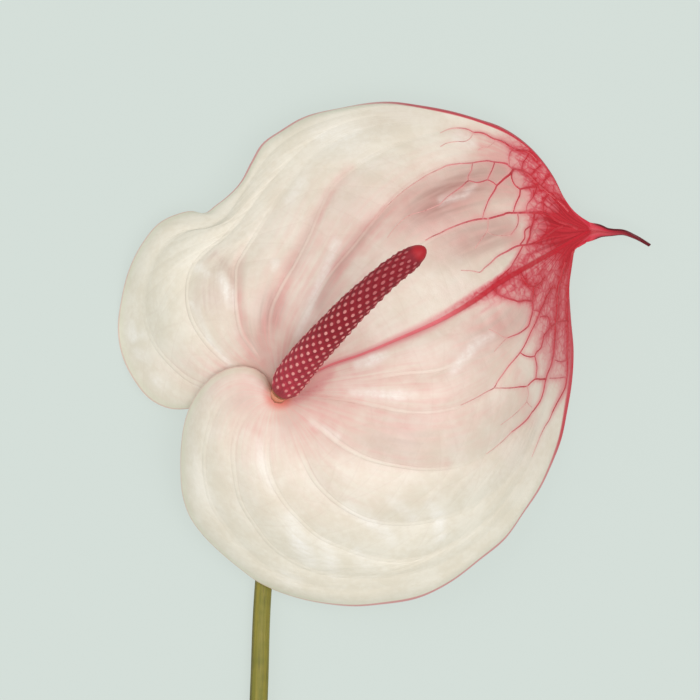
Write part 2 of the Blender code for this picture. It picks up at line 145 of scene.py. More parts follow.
def setCoords(mesh, points):
    mesh.vertices.foreach_set("co", np.asarray(points, dtype=np.float32).ravel())
    mesh.update()


def getCoords(mesh):
    points = np.zeros(len(mesh.vertices) * 3, dtype=np.float32)
    mesh.vertices.foreach_get("co", points)
    return points.reshape(-1, 3).astype(float)


# Nothing lies below the table
def keepAboveTable(mesh):
    points = getCoords(mesh)
    points[:, 2] = np.maximum(points[:, 2], 0.0)
    setCoords(mesh, points)


def addAttribute(mesh, name, values):
    layer = mesh.attributes.new(name, "FLOAT", "POINT")
    layer.data.foreach_set("value", np.asarray(values, dtype=np.float32).ravel())


# A UV map from one pair of numbers for each vertex
def addMap(mesh, name, pairs):
    corner = np.zeros(len(mesh.loops), dtype=np.int32)
    mesh.loops.foreach_get("vertex_index", corner)
    mesh.uv_layers[0].name = name
    mesh.uv_layers[name].data.foreach_set("uv", pairs[corner].astype(np.float32).ravel())


def mergeDoubles(piece):
    pick(piece)
    bpy.ops.object.mode_set(mode="EDIT")
    bpy.ops.mesh.select_all(action="SELECT")
    bpy.ops.mesh.remove_doubles(threshold=mergeWithin * mm)
    bpy.ops.mesh.normals_make_consistent(inside=False)
    bpy.ops.object.mode_set(mode="OBJECT")


# The tables are in millimetres from the flower; the pieces are in metres from the part's own origin
def toPart(points):
    return (np.asarray(points, float) + (*flowerAt, 0.0)) * mm


# A grid of rows and columns, made as a primitive and then laid where its points belong
def layGrid(name, points):
    rows, columns = points.shape[:2]
    bpy.ops.object.select_all(action="DESELECT")
    bpy.ops.mesh.primitive_grid_add(x_subdivisions=columns - 1, y_subdivisions=rows - 1, size=1.0)
    made = bpy.context.active_object
    made.name = name
    made.data.name = name
    start = getCoords(made.data)
    column = np.rint((start[:, 0] + 0.5) * (columns - 1)).astype(int)
    row = np.rint((start[:, 1] + 0.5) * (rows - 1)).astype(int)
    setCoords(made.data, toPart(points[row, column]))
    return made, row, column


def finishPiece(piece, node):
    pick(piece)
    bpy.ops.object.shade_smooth_by_angle(angle=smoothUpTo)
    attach(piece, body)
    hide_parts(node)
    print(piece.name, len(piece.data.polygons), "faces")


# A colour picked as on a screen, from 0 to 255, as the shader wants it
def rgb(r, g, b):
    return tuple(((c / 255 + 0.055) / 1.055) ** 2.4 for c in (r, g, b)) + (1.0,)


def addNode(tree, kind, inputs=None, **settings):
    node = tree.nodes.new(kind)
    for name, value in settings.items():
        setattr(node, name, value)
    for socket, value in (inputs or {}).items():
        if isinstance(value, bpy.types.NodeSocket):
            tree.links.new(value, node.inputs[socket])
        else:
            node.inputs[socket].default_value = value
    return node


# The same in the tree of the first socket among the inputs
def joinNode(kind, inputs, **settings):
    tree = next(value.id_data for value in inputs.values() if isinstance(value, bpy.types.NodeSocket))
    return addNode(tree, kind, inputs, **settings)


def compute(operation, first, *others, clamp=False):
    for other in others or (0.0,):
        first = joinNode("ShaderNodeMath", {0: first, 1: other}, operation=operation).outputs[0]
    first.node.use_clamp = clamp
    return first


def times(*values, clamp=False):
    return compute("MULTIPLY", *values, clamp=clamp)


def plus(*values):
    return compute("ADD", *values)


def minus(a, b):
    return compute("SUBTRACT", a, b)


def larger(a, b, clamp=False):
    return compute("MAXIMUM", a, b, clamp=clamp)


# The sum of the values, each times its own weight
def weighed(*pairs):
    return plus(*(times(value, weight) for value, weight in pairs))


def smooth(value, start, end, low=0.0, high=1.0):
    inputs = {"Value": value, "From Min": start, "From Max": end, "To Min": low, "To Max": high}
    return joinNode("ShaderNodeMapRange", inputs, interpolation_type="SMOOTHSTEP").outputs["Result"]


def mix(share, a, b):
    return joinNode("ShaderNodeMix", {0: share, 6: a, 7: b}, data_type="RGBA").outputs[2]


def stretch(vector, x, y, z=1.0):
    return joinNode("ShaderNodeVectorMath", {0: vector, 1: (x, y, z)}, operation="MULTIPLY").outputs["Vector"]


def noiseAt(vector, scale, detail=3.0, roughness=0.5):
    inputs = {"Vector": vector, "Scale": scale, "Detail": detail, "Roughness": roughness}
    return joinNode("ShaderNodeTexNoise", inputs).outputs["Fac"]


def cellsAt(vector, scale, **settings):
    cells = joinNode("ShaderNodeTexVoronoi", {"Vector": vector, "Scale": scale}, **settings)
    return cells.outputs["Distance"]


# An attribute of the mesh, with one number for each of its points
def mark(tree, name):
    return addNode(tree, "ShaderNodeAttribute", attribute_name=name).outputs["Fac"]


# Object coordinates in millimetres
def inMillimetres(tree):
    at = addNode(tree, "ShaderNodeTexCoord").outputs["Object"]
    return joinNode("ShaderNodeVectorMath", {0: at, "Scale": 1 / mm}, operation="SCALE").outputs["Vector"]


# Relief in millimetres as a bump
def bump(height):
    return joinNode("ShaderNodeBump", {"Height": height, "Strength": 1.0, "Distance": mm}).outputs["Normal"]


def newMaterial(name, look):
    made = bpy.data.materials.new(name)
    made.use_nodes = True
    shader = made.node_tree.nodes["Principled BSDF"]
    for socket in ("Roughness", "Specular IOR Level", "Coat Weight", "Coat Roughness"):
        shader.inputs[socket].default_value = look[socket]
    return made, made.node_tree, shader


def plugIn(shader, sockets):
    for name, socket in sockets.items():
        shader.id_data.links.new(socket, shader.inputs[name])


# Plant skin, shared by the pieces: fine cells in relief, and a tone that drifts over the surface
def plantSkinGroup():
    tree = bpy.data.node_groups.new("plantSkin", "ShaderNodeTree")
    for name, kind, way in (
        ("Vector", "NodeSocketVector", "INPUT"), ("Cell Size", "NodeSocketFloat", "INPUT"),
        ("Drift Size", "NodeSocketFloat", "INPUT"),
        ("Relief", "NodeSocketFloat", "OUTPUT"), ("Tone", "NodeSocketFloat", "OUTPUT"),
    ):
        tree.interface.new_socket(name, in_out=way, socket_type=kind)
    given = tree.nodes.new("NodeGroupInput").outputs
    cells = cellsAt(given["Vector"], compute("DIVIDE", 1.0, given["Cell Size"]))
    driftScale = compute("DIVIDE", 1.0, given["Drift Size"])
    drift = noiseAt(given["Vector"], driftScale, 2.0)
    fine = noiseAt(given["Vector"], times(driftScale, 6.0), 1.0)
    taken = tree.nodes.new("NodeGroupOutput").inputs
    tree.links.new(minus(1.0, cells), taken["Relief"])
    tree.links.new(weighed((drift, 0.7), (fine, 0.3)), taken["Tone"])
    return tree


def plantSkin(vector, cellSize, driftSize):
    inputs = {"Vector": vector, "Cell Size": cellSize, "Drift Size": driftSize}
    node = joinNode("ShaderNodeGroup", inputs, node_tree=plantSkinTree)
    return node.outputs["Relief"], node.outputs["Tone"]


# How rough the skin is: smoother and rougher by the two shares where its tone drifts
def roughness(tone, look):
    smoother, rougher = look["roughSpread"]
    return smooth(tone, 0.3, 0.7, look["Roughness"] - smoother, look["Roughness"] + rougher)


plantSkinTree = plantSkinGroup()


# The course of every rim and main vein, from the lower rim to the upper one: the angle at which it
# leaves the clasp, in degrees, and its points on the way to the tail. The ninth is the midrib
veins = [
    (142, [
        (-3.8, 3.8), (-6.5, 6.0), (-10.0, 7.0), (-14.0, 6.5), (-18.5, 4.3), (-22.0, 1.0), (-24.5, -3.0),
        (-26.2, -7.5), (-27.3, -14.3), (-27.5, -21.0), (-27.0, -27.8), (-25.0, -33.8), (-21.6, -38.6),
        (-16.7, -43.5), (-11.3, -48.0), (-7.3, -51.0), (-2.0, -53.7), (5.0, -56.0), (13.0, -57.5),
        (19.7, -58.0), (26.5, -57.5), (37.3, -55.6), (45.4, -51.6), (53.5, -45.5), (60.2, -40.0),
        (65.6, -32.5), (69.7, -26.5), (73.0, -19.7), (75.6, -13.0), (77.3, -5.0), (78.6, 3.0),
        (79.0, 11.3), (78.3, 19.4), (77.8, 27.5), (78.0, 34.3), (78.8, 37.6), (80.6, 39.9),
    ]),
    (177, [
        (-11.3, 0.5), (-16.2, -2.2), (-19.4, -9.0), (-21.0, -17.0), (-20.5, -25.0), (-19.0, -30.5),
        (-15.4, -36.0), (-10.0, -42.7), (-3.2, -48.0), (5.0, -51.6), (15.7, -53.5), (26.5, -53.0),
        (37.3, -50.8), (45.4, -48.0), (53.0, -42.4), (59.7, -36.5), (65.0, -29.7), (69.0, -22.4),
        (72.4, -15.0), (74.8, -6.2),
    ]),
    (202, [
        (-7.3, -3.5), (-10.8, -7.6), (-13.0, -14.3), (-12.7, -22.4), (-11.3, -29.2), (-7.3, -36.0),
        (-3.2, -41.3), (2.2, -45.4), (7.6, -48.0), (15.7, -49.7), (24.0, -50.0), (32.0, -49.4),
        (40.0, -47.3), (48.0, -43.5), (55.4, -38.0), (61.6, -31.6), (66.7, -23.8), (70.7, -15.7),
        (73.4, -6.2),
    ]),
    (240, [
        (-3.0, -6.2), (-3.5, -10.3), (-4.1, -15.7), (-3.2, -22.4), (0.3, -29.2), (5.0, -34.6),
        (10.3, -39.2), (17.0, -42.2), (24.0, -44.6), (32.0, -45.6), (40.0, -44.0), (48.0, -39.8),
        (55.6, -34.6), (61.8, -27.5), (66.7, -19.7), (70.5, -11.0), (72.8, -2.2),
    ]),
    (288, [
        (1.1, -6.2), (3.0, -10.3), (5.0, -15.7), (9.0, -24.0), (15.7, -30.5), (24.0, -34.6),
        (32.0, -35.6), (40.0, -34.8), (48.0, -32.4), (56.0, -27.8),
        (61.8, -22.4), (66.4, -15.7), (70.0, -7.6), (72.0, -0.8),
    ]),
    (319, [
        (5.0, -5.4), (10.3, -9.5), (15.7, -13.8), (22.4, -17.6), (32.0, -20.0), (40.0, -20.8),
        (46.7, -20.0), (53.5, -17.6), (59.0, -14.0), (63.5, -9.7), (68.3, -4.3), (70.0, 0.0),
        (71.3, 6.0), (72.0, 12.7), (72.6, 20.0), (73.4, 27.5), (75.4, 33.5), (77.9, 38.7),
    ]),
    (352, [
        (7.6, -0.8), (15.7, -1.4), (24.0, -3.2), (32.0, -5.0), (40.0, -5.4), (46.7, -4.3), (52.0, -2.0),
        (56.2, 0.8), (59.0, 4.3), (61.6, 8.0), (64.3, 11.3), (67.0, 16.2), (69.7, 22.0), (71.3, 27.5),
        (73.8, 33.5), (77.5, 39.1),
    ]),
    (369, [
        (7.6, 1.0), (13.0, 2.2), (24.0, 3.8), (32.0, 5.0), (42.7, 6.2), (48.0, 8.4), (53.5, 10.3),
        (59.0, 12.7), (62.6, 15.4), (65.6, 19.0), (67.2, 24.0), (68.5, 28.5), (71.8, 33.5), (77.1, 39.4),
    ]),
    (390, [
        (5.0, 3.2), (13.0, 7.3), (21.0, 10.0), (32.0, 14.6), (42.7, 19.4), (50.8, 24.0), (59.0, 29.7),
        (67.0, 34.3), (75.0, 38.8),
    ]),
    (408, [
        (8.0, 10.0), (17.0, 20.8), (27.8, 31.6), (38.3, 40.0), (45.4, 43.7), (54.8, 46.7), (64.3, 48.6),
        (71.0, 48.0), (76.0, 45.7),
    ]),
    (434, [
        (1.6, 8.6), (5.0, 18.0), (8.4, 24.0), (13.0, 31.6), (19.7, 39.7), (25.0, 46.4), (32.0, 54.0),
        (37.3, 58.0), (44.0, 60.8), (49.4, 61.8), (54.8, 62.4), (59.4, 61.8), (65.6, 59.0), (69.7, 55.0),
        (73.7, 51.4), (77.4, 47.2),
    ]),
    (458, [
        (-2.4, 8.6), (-3.2, 16.7), (-2.7, 22.0), (-0.5, 27.5), (3.5, 34.3), (7.6, 42.4), (10.3, 49.0),
        (14.3, 56.0), (19.0, 60.0), (32.0, 67.2), (40.0, 69.7), (46.7, 71.0), (54.8, 69.4), (61.0, 66.2),
        (65.6, 63.7), (69.7, 60.5), (73.0, 56.0), (76.0, 51.0),
    ]),
    (486, [
        (-4.1, 6.0), (-8.0, 12.0), (-10.5, 15.4), (-12.0, 20.8), (-12.4, 24.8), (-12.4, 29.4),
        (-12.0, 34.3), (-10.5, 37.0), (-8.0, 41.0), (-2.0, 50.5), (2.7, 57.2), (9.0, 64.0), (17.0, 69.0),
        (26.5, 72.0), (37.3, 73.0), (45.4, 72.5), (53.5, 70.7),
    ]),
    (502, [
        (-6.5, 4.9), (-14.0, 7.6), (-18.0, 10.8), (-22.0, 15.4), (-24.8, 20.8), (-25.7, 26.2),
        (-25.0, 31.6), (-23.5, 34.8), (-20.5, 38.0), (-15.4, 42.0), (-10.0, 48.3), (-5.4, 54.5),
        (0.0, 60.6), (6.0, 66.6), (13.0, 71.2), (21.0, 74.0), (32.0, 75.0), (43.0, 74.1), (53.5, 71.7),
    ]),
    (530, [
        (-6.5, 2.2), (-16.2, 0.8), (-24.8, 3.2), (-30.2, 7.6), (-33.5, 11.3), (-36.2, 16.7),
        (-37.3, 23.5), (-36.5, 30.2), (-34.0, 36.2), (-30.2, 41.0), (-25.4, 43.7), (-21.0, 43.6),
        (-16.7, 45.9), (-12.4, 51.0), (-8.0, 57.8), (-3.2, 64.3), (3.2, 69.4), (11.8, 73.3),
        (21.6, 75.8), (32.0, 76.7), (43.0, 75.4), (53.5, 72.7),
    ]),
    (547, [
        (-6.0, -0.3), (-14.0, -2.2), (-25.4, -4.6), (-30.2, -4.6), (-35.6, -2.2), (-40.2, 3.2),
        (-43.5, 10.0), (-44.6, 16.7), (-43.7, 24.8), (-41.6, 33.0), (-38.0, 40.2), (-33.0, 46.0),
        (-28.0, 48.3), (-24.8, 49.0), (-20.8, 48.4), (-18.0, 50.5), (-16.2, 51.8), (-11.3, 56.7),
        (-8.6, 61.8), (-5.4, 67.2), (-0.5, 70.7), (5.0, 74.0), (15.7, 76.8), (29.2, 78.5), (37.3, 77.5),
        (45.4, 76.0), (53.5, 73.7), (59.0, 71.8), (64.3, 68.6), (69.7, 63.5), (73.7, 57.8), (76.5, 52.2),
        (79.0, 48.9), (80.8, 47.4),
    ]),
]
# Known heights of the middle of the sheet
heights = [
    (-0.9, -0.4, 28.2), (10.0, -7.0, 32.5), (-8.0, -9.0, 29.5), (-3.0, 13.0, 31.5), (9.0, 12.0, 33.0),
    (24.0, 4.0, 36.0), (40.0, 8.0, 36.5), (22.0, 24.0, 35.0), (8.0, 36.0, 31.5), (-14.0, 24.0, 27.5),
    (40.0, 32.0, 33.0), (56.0, 18.0, 31.0), (62.0, -2.0, 25.5), (44.0, -22.0, 30.5), (20.0, -30.0, 31.5),
    (-5.0, -30.0, 28.0), (-20.0, -14.0, 24.0), (-30.0, 18.0, 18.5), (-32.0, 34.0, 15.5), (-20.0, 40.0, 18.0),
    (0.0, 58.0, 20.0), (24.0, 64.0, 23.5), (50.0, 58.0, 22.5), (66.0, 46.0, 18.0), (70.0, 26.0, 19.0),
    (72.0, 10.0, 15.0), (83.2, 41.0, 9.6), (83.2, 45.6, 9.8),
    (-44.8, 14.0, -0.5), (-40.0, 2.0, 4.5), (-30.0, -5.0, 11.5), (-43.0, 30.0, 3.5), (-28.0, 48.5, 9.5),
    (-16.0, 52.0, 13.0), (-2.0, 70.5, 11.5), (29.0, 78.5, 14.0), (54.0, 73.7, 14.5), (72.0, 60.5, 11.5),
    (79.2, 8.0, -0.7), (78.2, 27.5, 5.0), (76.0, -13.0, 3.0), (65.6, -32.5, 8.5), (45.4, -51.6, 12.0),
    (19.7, -58.0, 12.0), (-7.3, -51.0, 10.0), (-21.6, -38.6, 11.5), (-27.5, -21.0, 15.5),
]
# Soft oval patches: (x, y, half length, half width, turn in degrees, strength)
blushPatches = [
    (4.9, 0.5, 18.9, 16.2, 0, 0.3),
    (31.9, -2.2, 35.1, 14.9, -8, 0.42),
    (34.6, 47.8, 29.7, 13.5, 35, 0.38),
    (53.5, 16.7, 24.3, 16.2, 0, 0.3),
    (4.9, 24.8, 16.2, 29.7, -20, 0.34),
    (53.5, 42.4, 12.2, 5.9, 15, 0.45),
    (15.7, -26.5, 24.3, 10.8, 0, 0.12),
    (10.3, -10.3, 10.8, 8.1, 0, 0.2),
    (-18.1, 5.9, 13.5, 5.9, 0, 0.2),
    (-9, -12, 7, 9, 20, 0.16),
    (64.5, 57, 10, 6.5, -38, 0.95),
    (57, 66, 10, 3.5, -25, 0.6),
    (60.5, 20, 12, 6, 30, 0.35),
    (45, 52, 14, 6, 25, 0.4),
]
# Soft brush strokes, each a line of (x, y, half width, strength)
blushStrokes = [
    [(-5.4, 5.4, 2.2, 0.6), (-4.6, 14, 3.5, 0.85), (-2.2, 21.6, 3.5, 0.95), (2.2, 32.9, 2.7, 0.62),
     (7, 42.4, 2.2, 0.5), (13, 53.2, 2.2, 0.55), (18.4, 59.9, 2.2, 0.36)],
    [(-6.5, 5.4, 1.9, 0.7), (-9.7, 12.7, 2.2, 0.72), (-11.3, 22.1, 2.2, 0.6), (-12.2, 31.6, 2.2, 0.35),
     (-10.5, 38.3, 2.2, 0.2)],
    [(4.9, 10.8, 2.2, 0.5), (9.7, 23.5, 2.2, 0.65), (15.7, 34.3, 2.7, 0.85), (22.4, 43.2, 2.7, 0.8),
     (30.5, 51, 2.7, 0.78), (38.6, 56.7, 2.7, 0.6)],
    [(13, 0, 2.7, 0.5), (21.1, -6.2, 3.2, 0.55), (31.9, -8.6, 3.8, 0.58), (45.4, -8.6, 3.2, 0.45),
     (56.2, -3.5, 3.2, 0.4)],
    [(18.4, -13, 2.2, 0.35), (31.9, -18.9, 2.7, 0.4), (44, -18.9, 2.7, 0.35)],
    [(48.1, 48.6, 2.7, 0.5), (58.9, 45.9, 3.8, 0.8), (62.9, 41, 3.8, 0.8)],
    [(57.5, 14, 2.2, 0.45), (64.3, 3.2, 2.7, 0.5), (67, -7.6, 2.7, 0.4)],
    [(-1.6, -1.1, 2.4, 1.1), (2.2, -1.9, 2.4, 1.2), (9.2, 1.6, 3.2, 1.2), (13, 5.9, 2.7, 0.9)],
]
# Painted highlights: paler flesh on glossy places that catch the light, mostly long ones that follow the
# veins
paintedHighlightStrokes = [
    [(-41.2, 18.9, 1.1, 0.4), (-40.5, 14.9, 1.5, 0.7), (-37, 15.4, 1.2, 0.3)],
    [(-38.9, 10.3, 1.6, 0.5), (-36.2, 9.2, 1.4, 0.35)],
    [(-34, 3, 1.8, 0.45), (-31, 1.2, 1.4, 0.25)],
    [(-16.3, 31.2, 1.2, 0.5), (-14.6, 26.9, 1.7, 0.65), (-13.4, 23.2, 1.2, 0.35)],
    [(-22.2, 33.4, 1.4, 0.5), (-20, 31.6, 1, 0.3)],
    [(-24, 24, 0.8, 0.45), (-19.4, 14, 0.8, 0.55), (-14, 7.3, 0.8, 0.35)],
    [(-1.6, 34.8, 1.1, 0.5), (-2.2, 33.2, 0.7, 0.4)],
    [(2.2, 51.8, 1.6, 0.35), (5.4, 56.2, 1.8, 0.35)],
    [(4, 15, 1.1, 0.3), (8.1, 24.3, 1.2, 0.4), (14.6, 40.2, 1.4, 0.4)],
    [(11, 70, 4, 0.35), (18.4, 68, 4.5, 0.4), (24, 62, 3, 0.3)],
    [(42.9, 51.4, 1, 0.3), (49, 53, 0.9, 0.4), (52, 55.5, 0.9, 0.25)],
    [(47.5, 68.5, 2, 0.35), (51.3, 67.2, 1.6, 0.4)],
    [(20.3, 7.3, 1.2, 0.35), (24.3, 8.6, 1.6, 0.65), (28, 10, 1.1, 0.35)],
    [(19, 0, 1, 0.35), (25, -0.4, 1.4, 0.5), (31.6, -0.8, 1.5, 0.55), (36, -0.6, 1, 0.25)],
    [(46, 5.6, 1.2, 0.4), (52.1, 13, 1.6, 0.45), (56.5, 15.4, 1.2, 0.3)],
    [(8.4, -8.2, 1, 0.3), (15, -12, 1.2, 0.3)],
    [(-6.4, -13, 1, 0.25), (-5, -21, 1.4, 0.45), (-2.4, -27, 1.2, 0.25)],
    [(2.4, -34, 1.6, 0.5), (4.6, -40.5, 2.4, 0.75), (8, -46, 1.8, 0.45)],
    [(11, -40, 1.4, 0.3), (13.4, -45.6, 1.9, 0.6), (14.6, -50, 1.4, 0.3)],
    [(17.6, -30.6, 1.4, 0.45), (22, -33.6, 1.7, 0.55), (27.6, -37.5, 1.8, 0.6), (30.6, -40.6, 1.2, 0.3)],
    [(20.4, -43, 1.6, 0.4), (22.4, -46.4, 1.8, 0.35)],
    [(29.6, -29, 1.3, 0.4), (35.4, -33.6, 1.5, 0.35)],
    [(39.5, -30.4, 1.2, 0.4), (42.4, -33, 1.8, 0.6), (42.6, -38.6, 1.8, 0.6)],
    [(0.6, -49.6, 2, 0.4), (4, -51.6, 1.8, 0.3)],
    [(-24, -14, 1.6, 0.2), (-22.4, -26, 2, 0.3), (-16, -34, 1.8, 0.2)],
]
# Painted shade: patches and strokes where the flesh is drawn darker and greyer, partly shade and partly a
# greyer tint of the flesh
shadePatches = [
    (-2.7, 21.6, 7, 3.8, 80, 0.66),
    (-11.3, -2.2, 5, 4, 0, 0.25),
    (18.4, 51.8, 10, 7, 30, 0.12),
    (13, -2.2, 6, 4, 0, 0.14),
    (31.9, 74.8, 14, 4, 10, 0.14),
    (-8.1, 12.7, 10.8, 3.8, 110, 0.3),
    (54.8, 41.9, 12.2, 4.9, 10, 0.5),
    (45.4, 37, 10.8, 3.8, 25, 0.2),
    (44.5, 52.5, 15, 6, 28, 0.84),
    (-19, 26, 6, 5, 60, 0.32),
    (66, 54, 7, 5, -30, 0.25),
    (61, 19.5, 12, 6, 30, 0.34),
    (58, 33, 14, 5, 25, 0.14),
    (56, 56, 10, 6, 0, 0.16),
    (31.9, -13, 15, 5, 0, 0.3),
    (-16.2, 35.1, 4.3, 3.2, 45, 0.22),
    (2.2, -6.2, 5.9, 3.8, 90, 0.24),
    (53.5, 11.3, 18.9, 8.1, 5, 0.12),
    (64.3, -7.6, 8.1, 13.5, 0, 0.16),
    (37.3, -5.4, 18.9, 2.7, 0, 0.1),
]
shadeStrokes = [
    [(9.7, 23.5, 1.9, 0.3), (15.7, 34.3, 2.2, 0.45), (22.4, 43.2, 2.2, 0.38), (30.5, 51, 2.2, 0.25)],
    [(2.2, 32.9, 2.2, 0.35), (7, 42.4, 2.2, 0.26), (13, 53.2, 2.2, 0.16)],
    [(-12.4, 24.8, 2.2, 0.3), (-11.9, 35.1, 2.2, 0.22)],
    [(-21, 34.6, 1.6, 0.14), (-18, 37.2, 1.5, 0.3), (-14.8, 33.8, 1.9, 0.44), (-13.3, 29, 1.4, 0.3)],
]
redStrokes = [
    [(79.1, 40.2, 2.8, 1), (69.7, 34.6, 1.8, 0.9), (60.2, 29, 1.3, 0.7), (52.1, 23.9, 0.9, 0.55),
     (42.7, 18.9, 0.7, 0.4), (31.9, 14.3, 0.6, 0.3), (16, 8, 0.6, 0.25), (6, 3.8, 0.8, 0.3)],
    [(71, 31.5, 2.4, 0.8), (61.6, 26.2, 1.7, 0.6), (53.6, 21.6, 0.9, 0.35)],
    [(-3, -0.4, 1.4, 0.42), (-0.6, -3.4, 1.5, 0.38), (3.4, -2.2, 1.9, 0.52), (8.5, 0.8, 2.1, 0.52),
     (13, 4.6, 1.7, 0.44)],
    [(81.5, 46, 2, 1), (76.7, 54.5, 1.5, 1), (69.7, 64, 1.3, 0.9), (63.5, 69.3, 1.1, 0.75),
     (58, 72.3, 0.8, 0.5)],
    [(77.6, 36, 2, 0.9), (77.8, 27.5, 1.5, 0.85), (78.4, 17, 1.2, 0.8), (78.4, 5, 1.1, 0.75),
     (76.7, -7, 0.9, 0.55)],
]
redFrom = (81.3, 43.2)
# For each angle seen from there, in degrees: how far solid red and the last of the pink reach
redReach = [
    (112, 24.3, 34), (118, 24, 40), (124, 20, 44), (130, 17, 43), (136, 15, 37),
    (140, 14, 31), (146, 12.2, 22.7), (153, 11.3, 21.1), (160, 10.8, 21.1), (166, 10.3, 20.5),
    (175, 9.7, 18.4), (183, 9.7, 17.3), (191, 10.8, 18.9), (200, 13.5, 21.6), (206, 16.7, 26.5),
    (210.5, 28.4, 58.1), (214, 23.8, 40.5), (222, 19.5, 32.4), (228, 19, 31), (236, 17, 31),
    (246, 17.5, 40), (254, 19, 48), (260, 21, 52), (268, 25, 58),
]
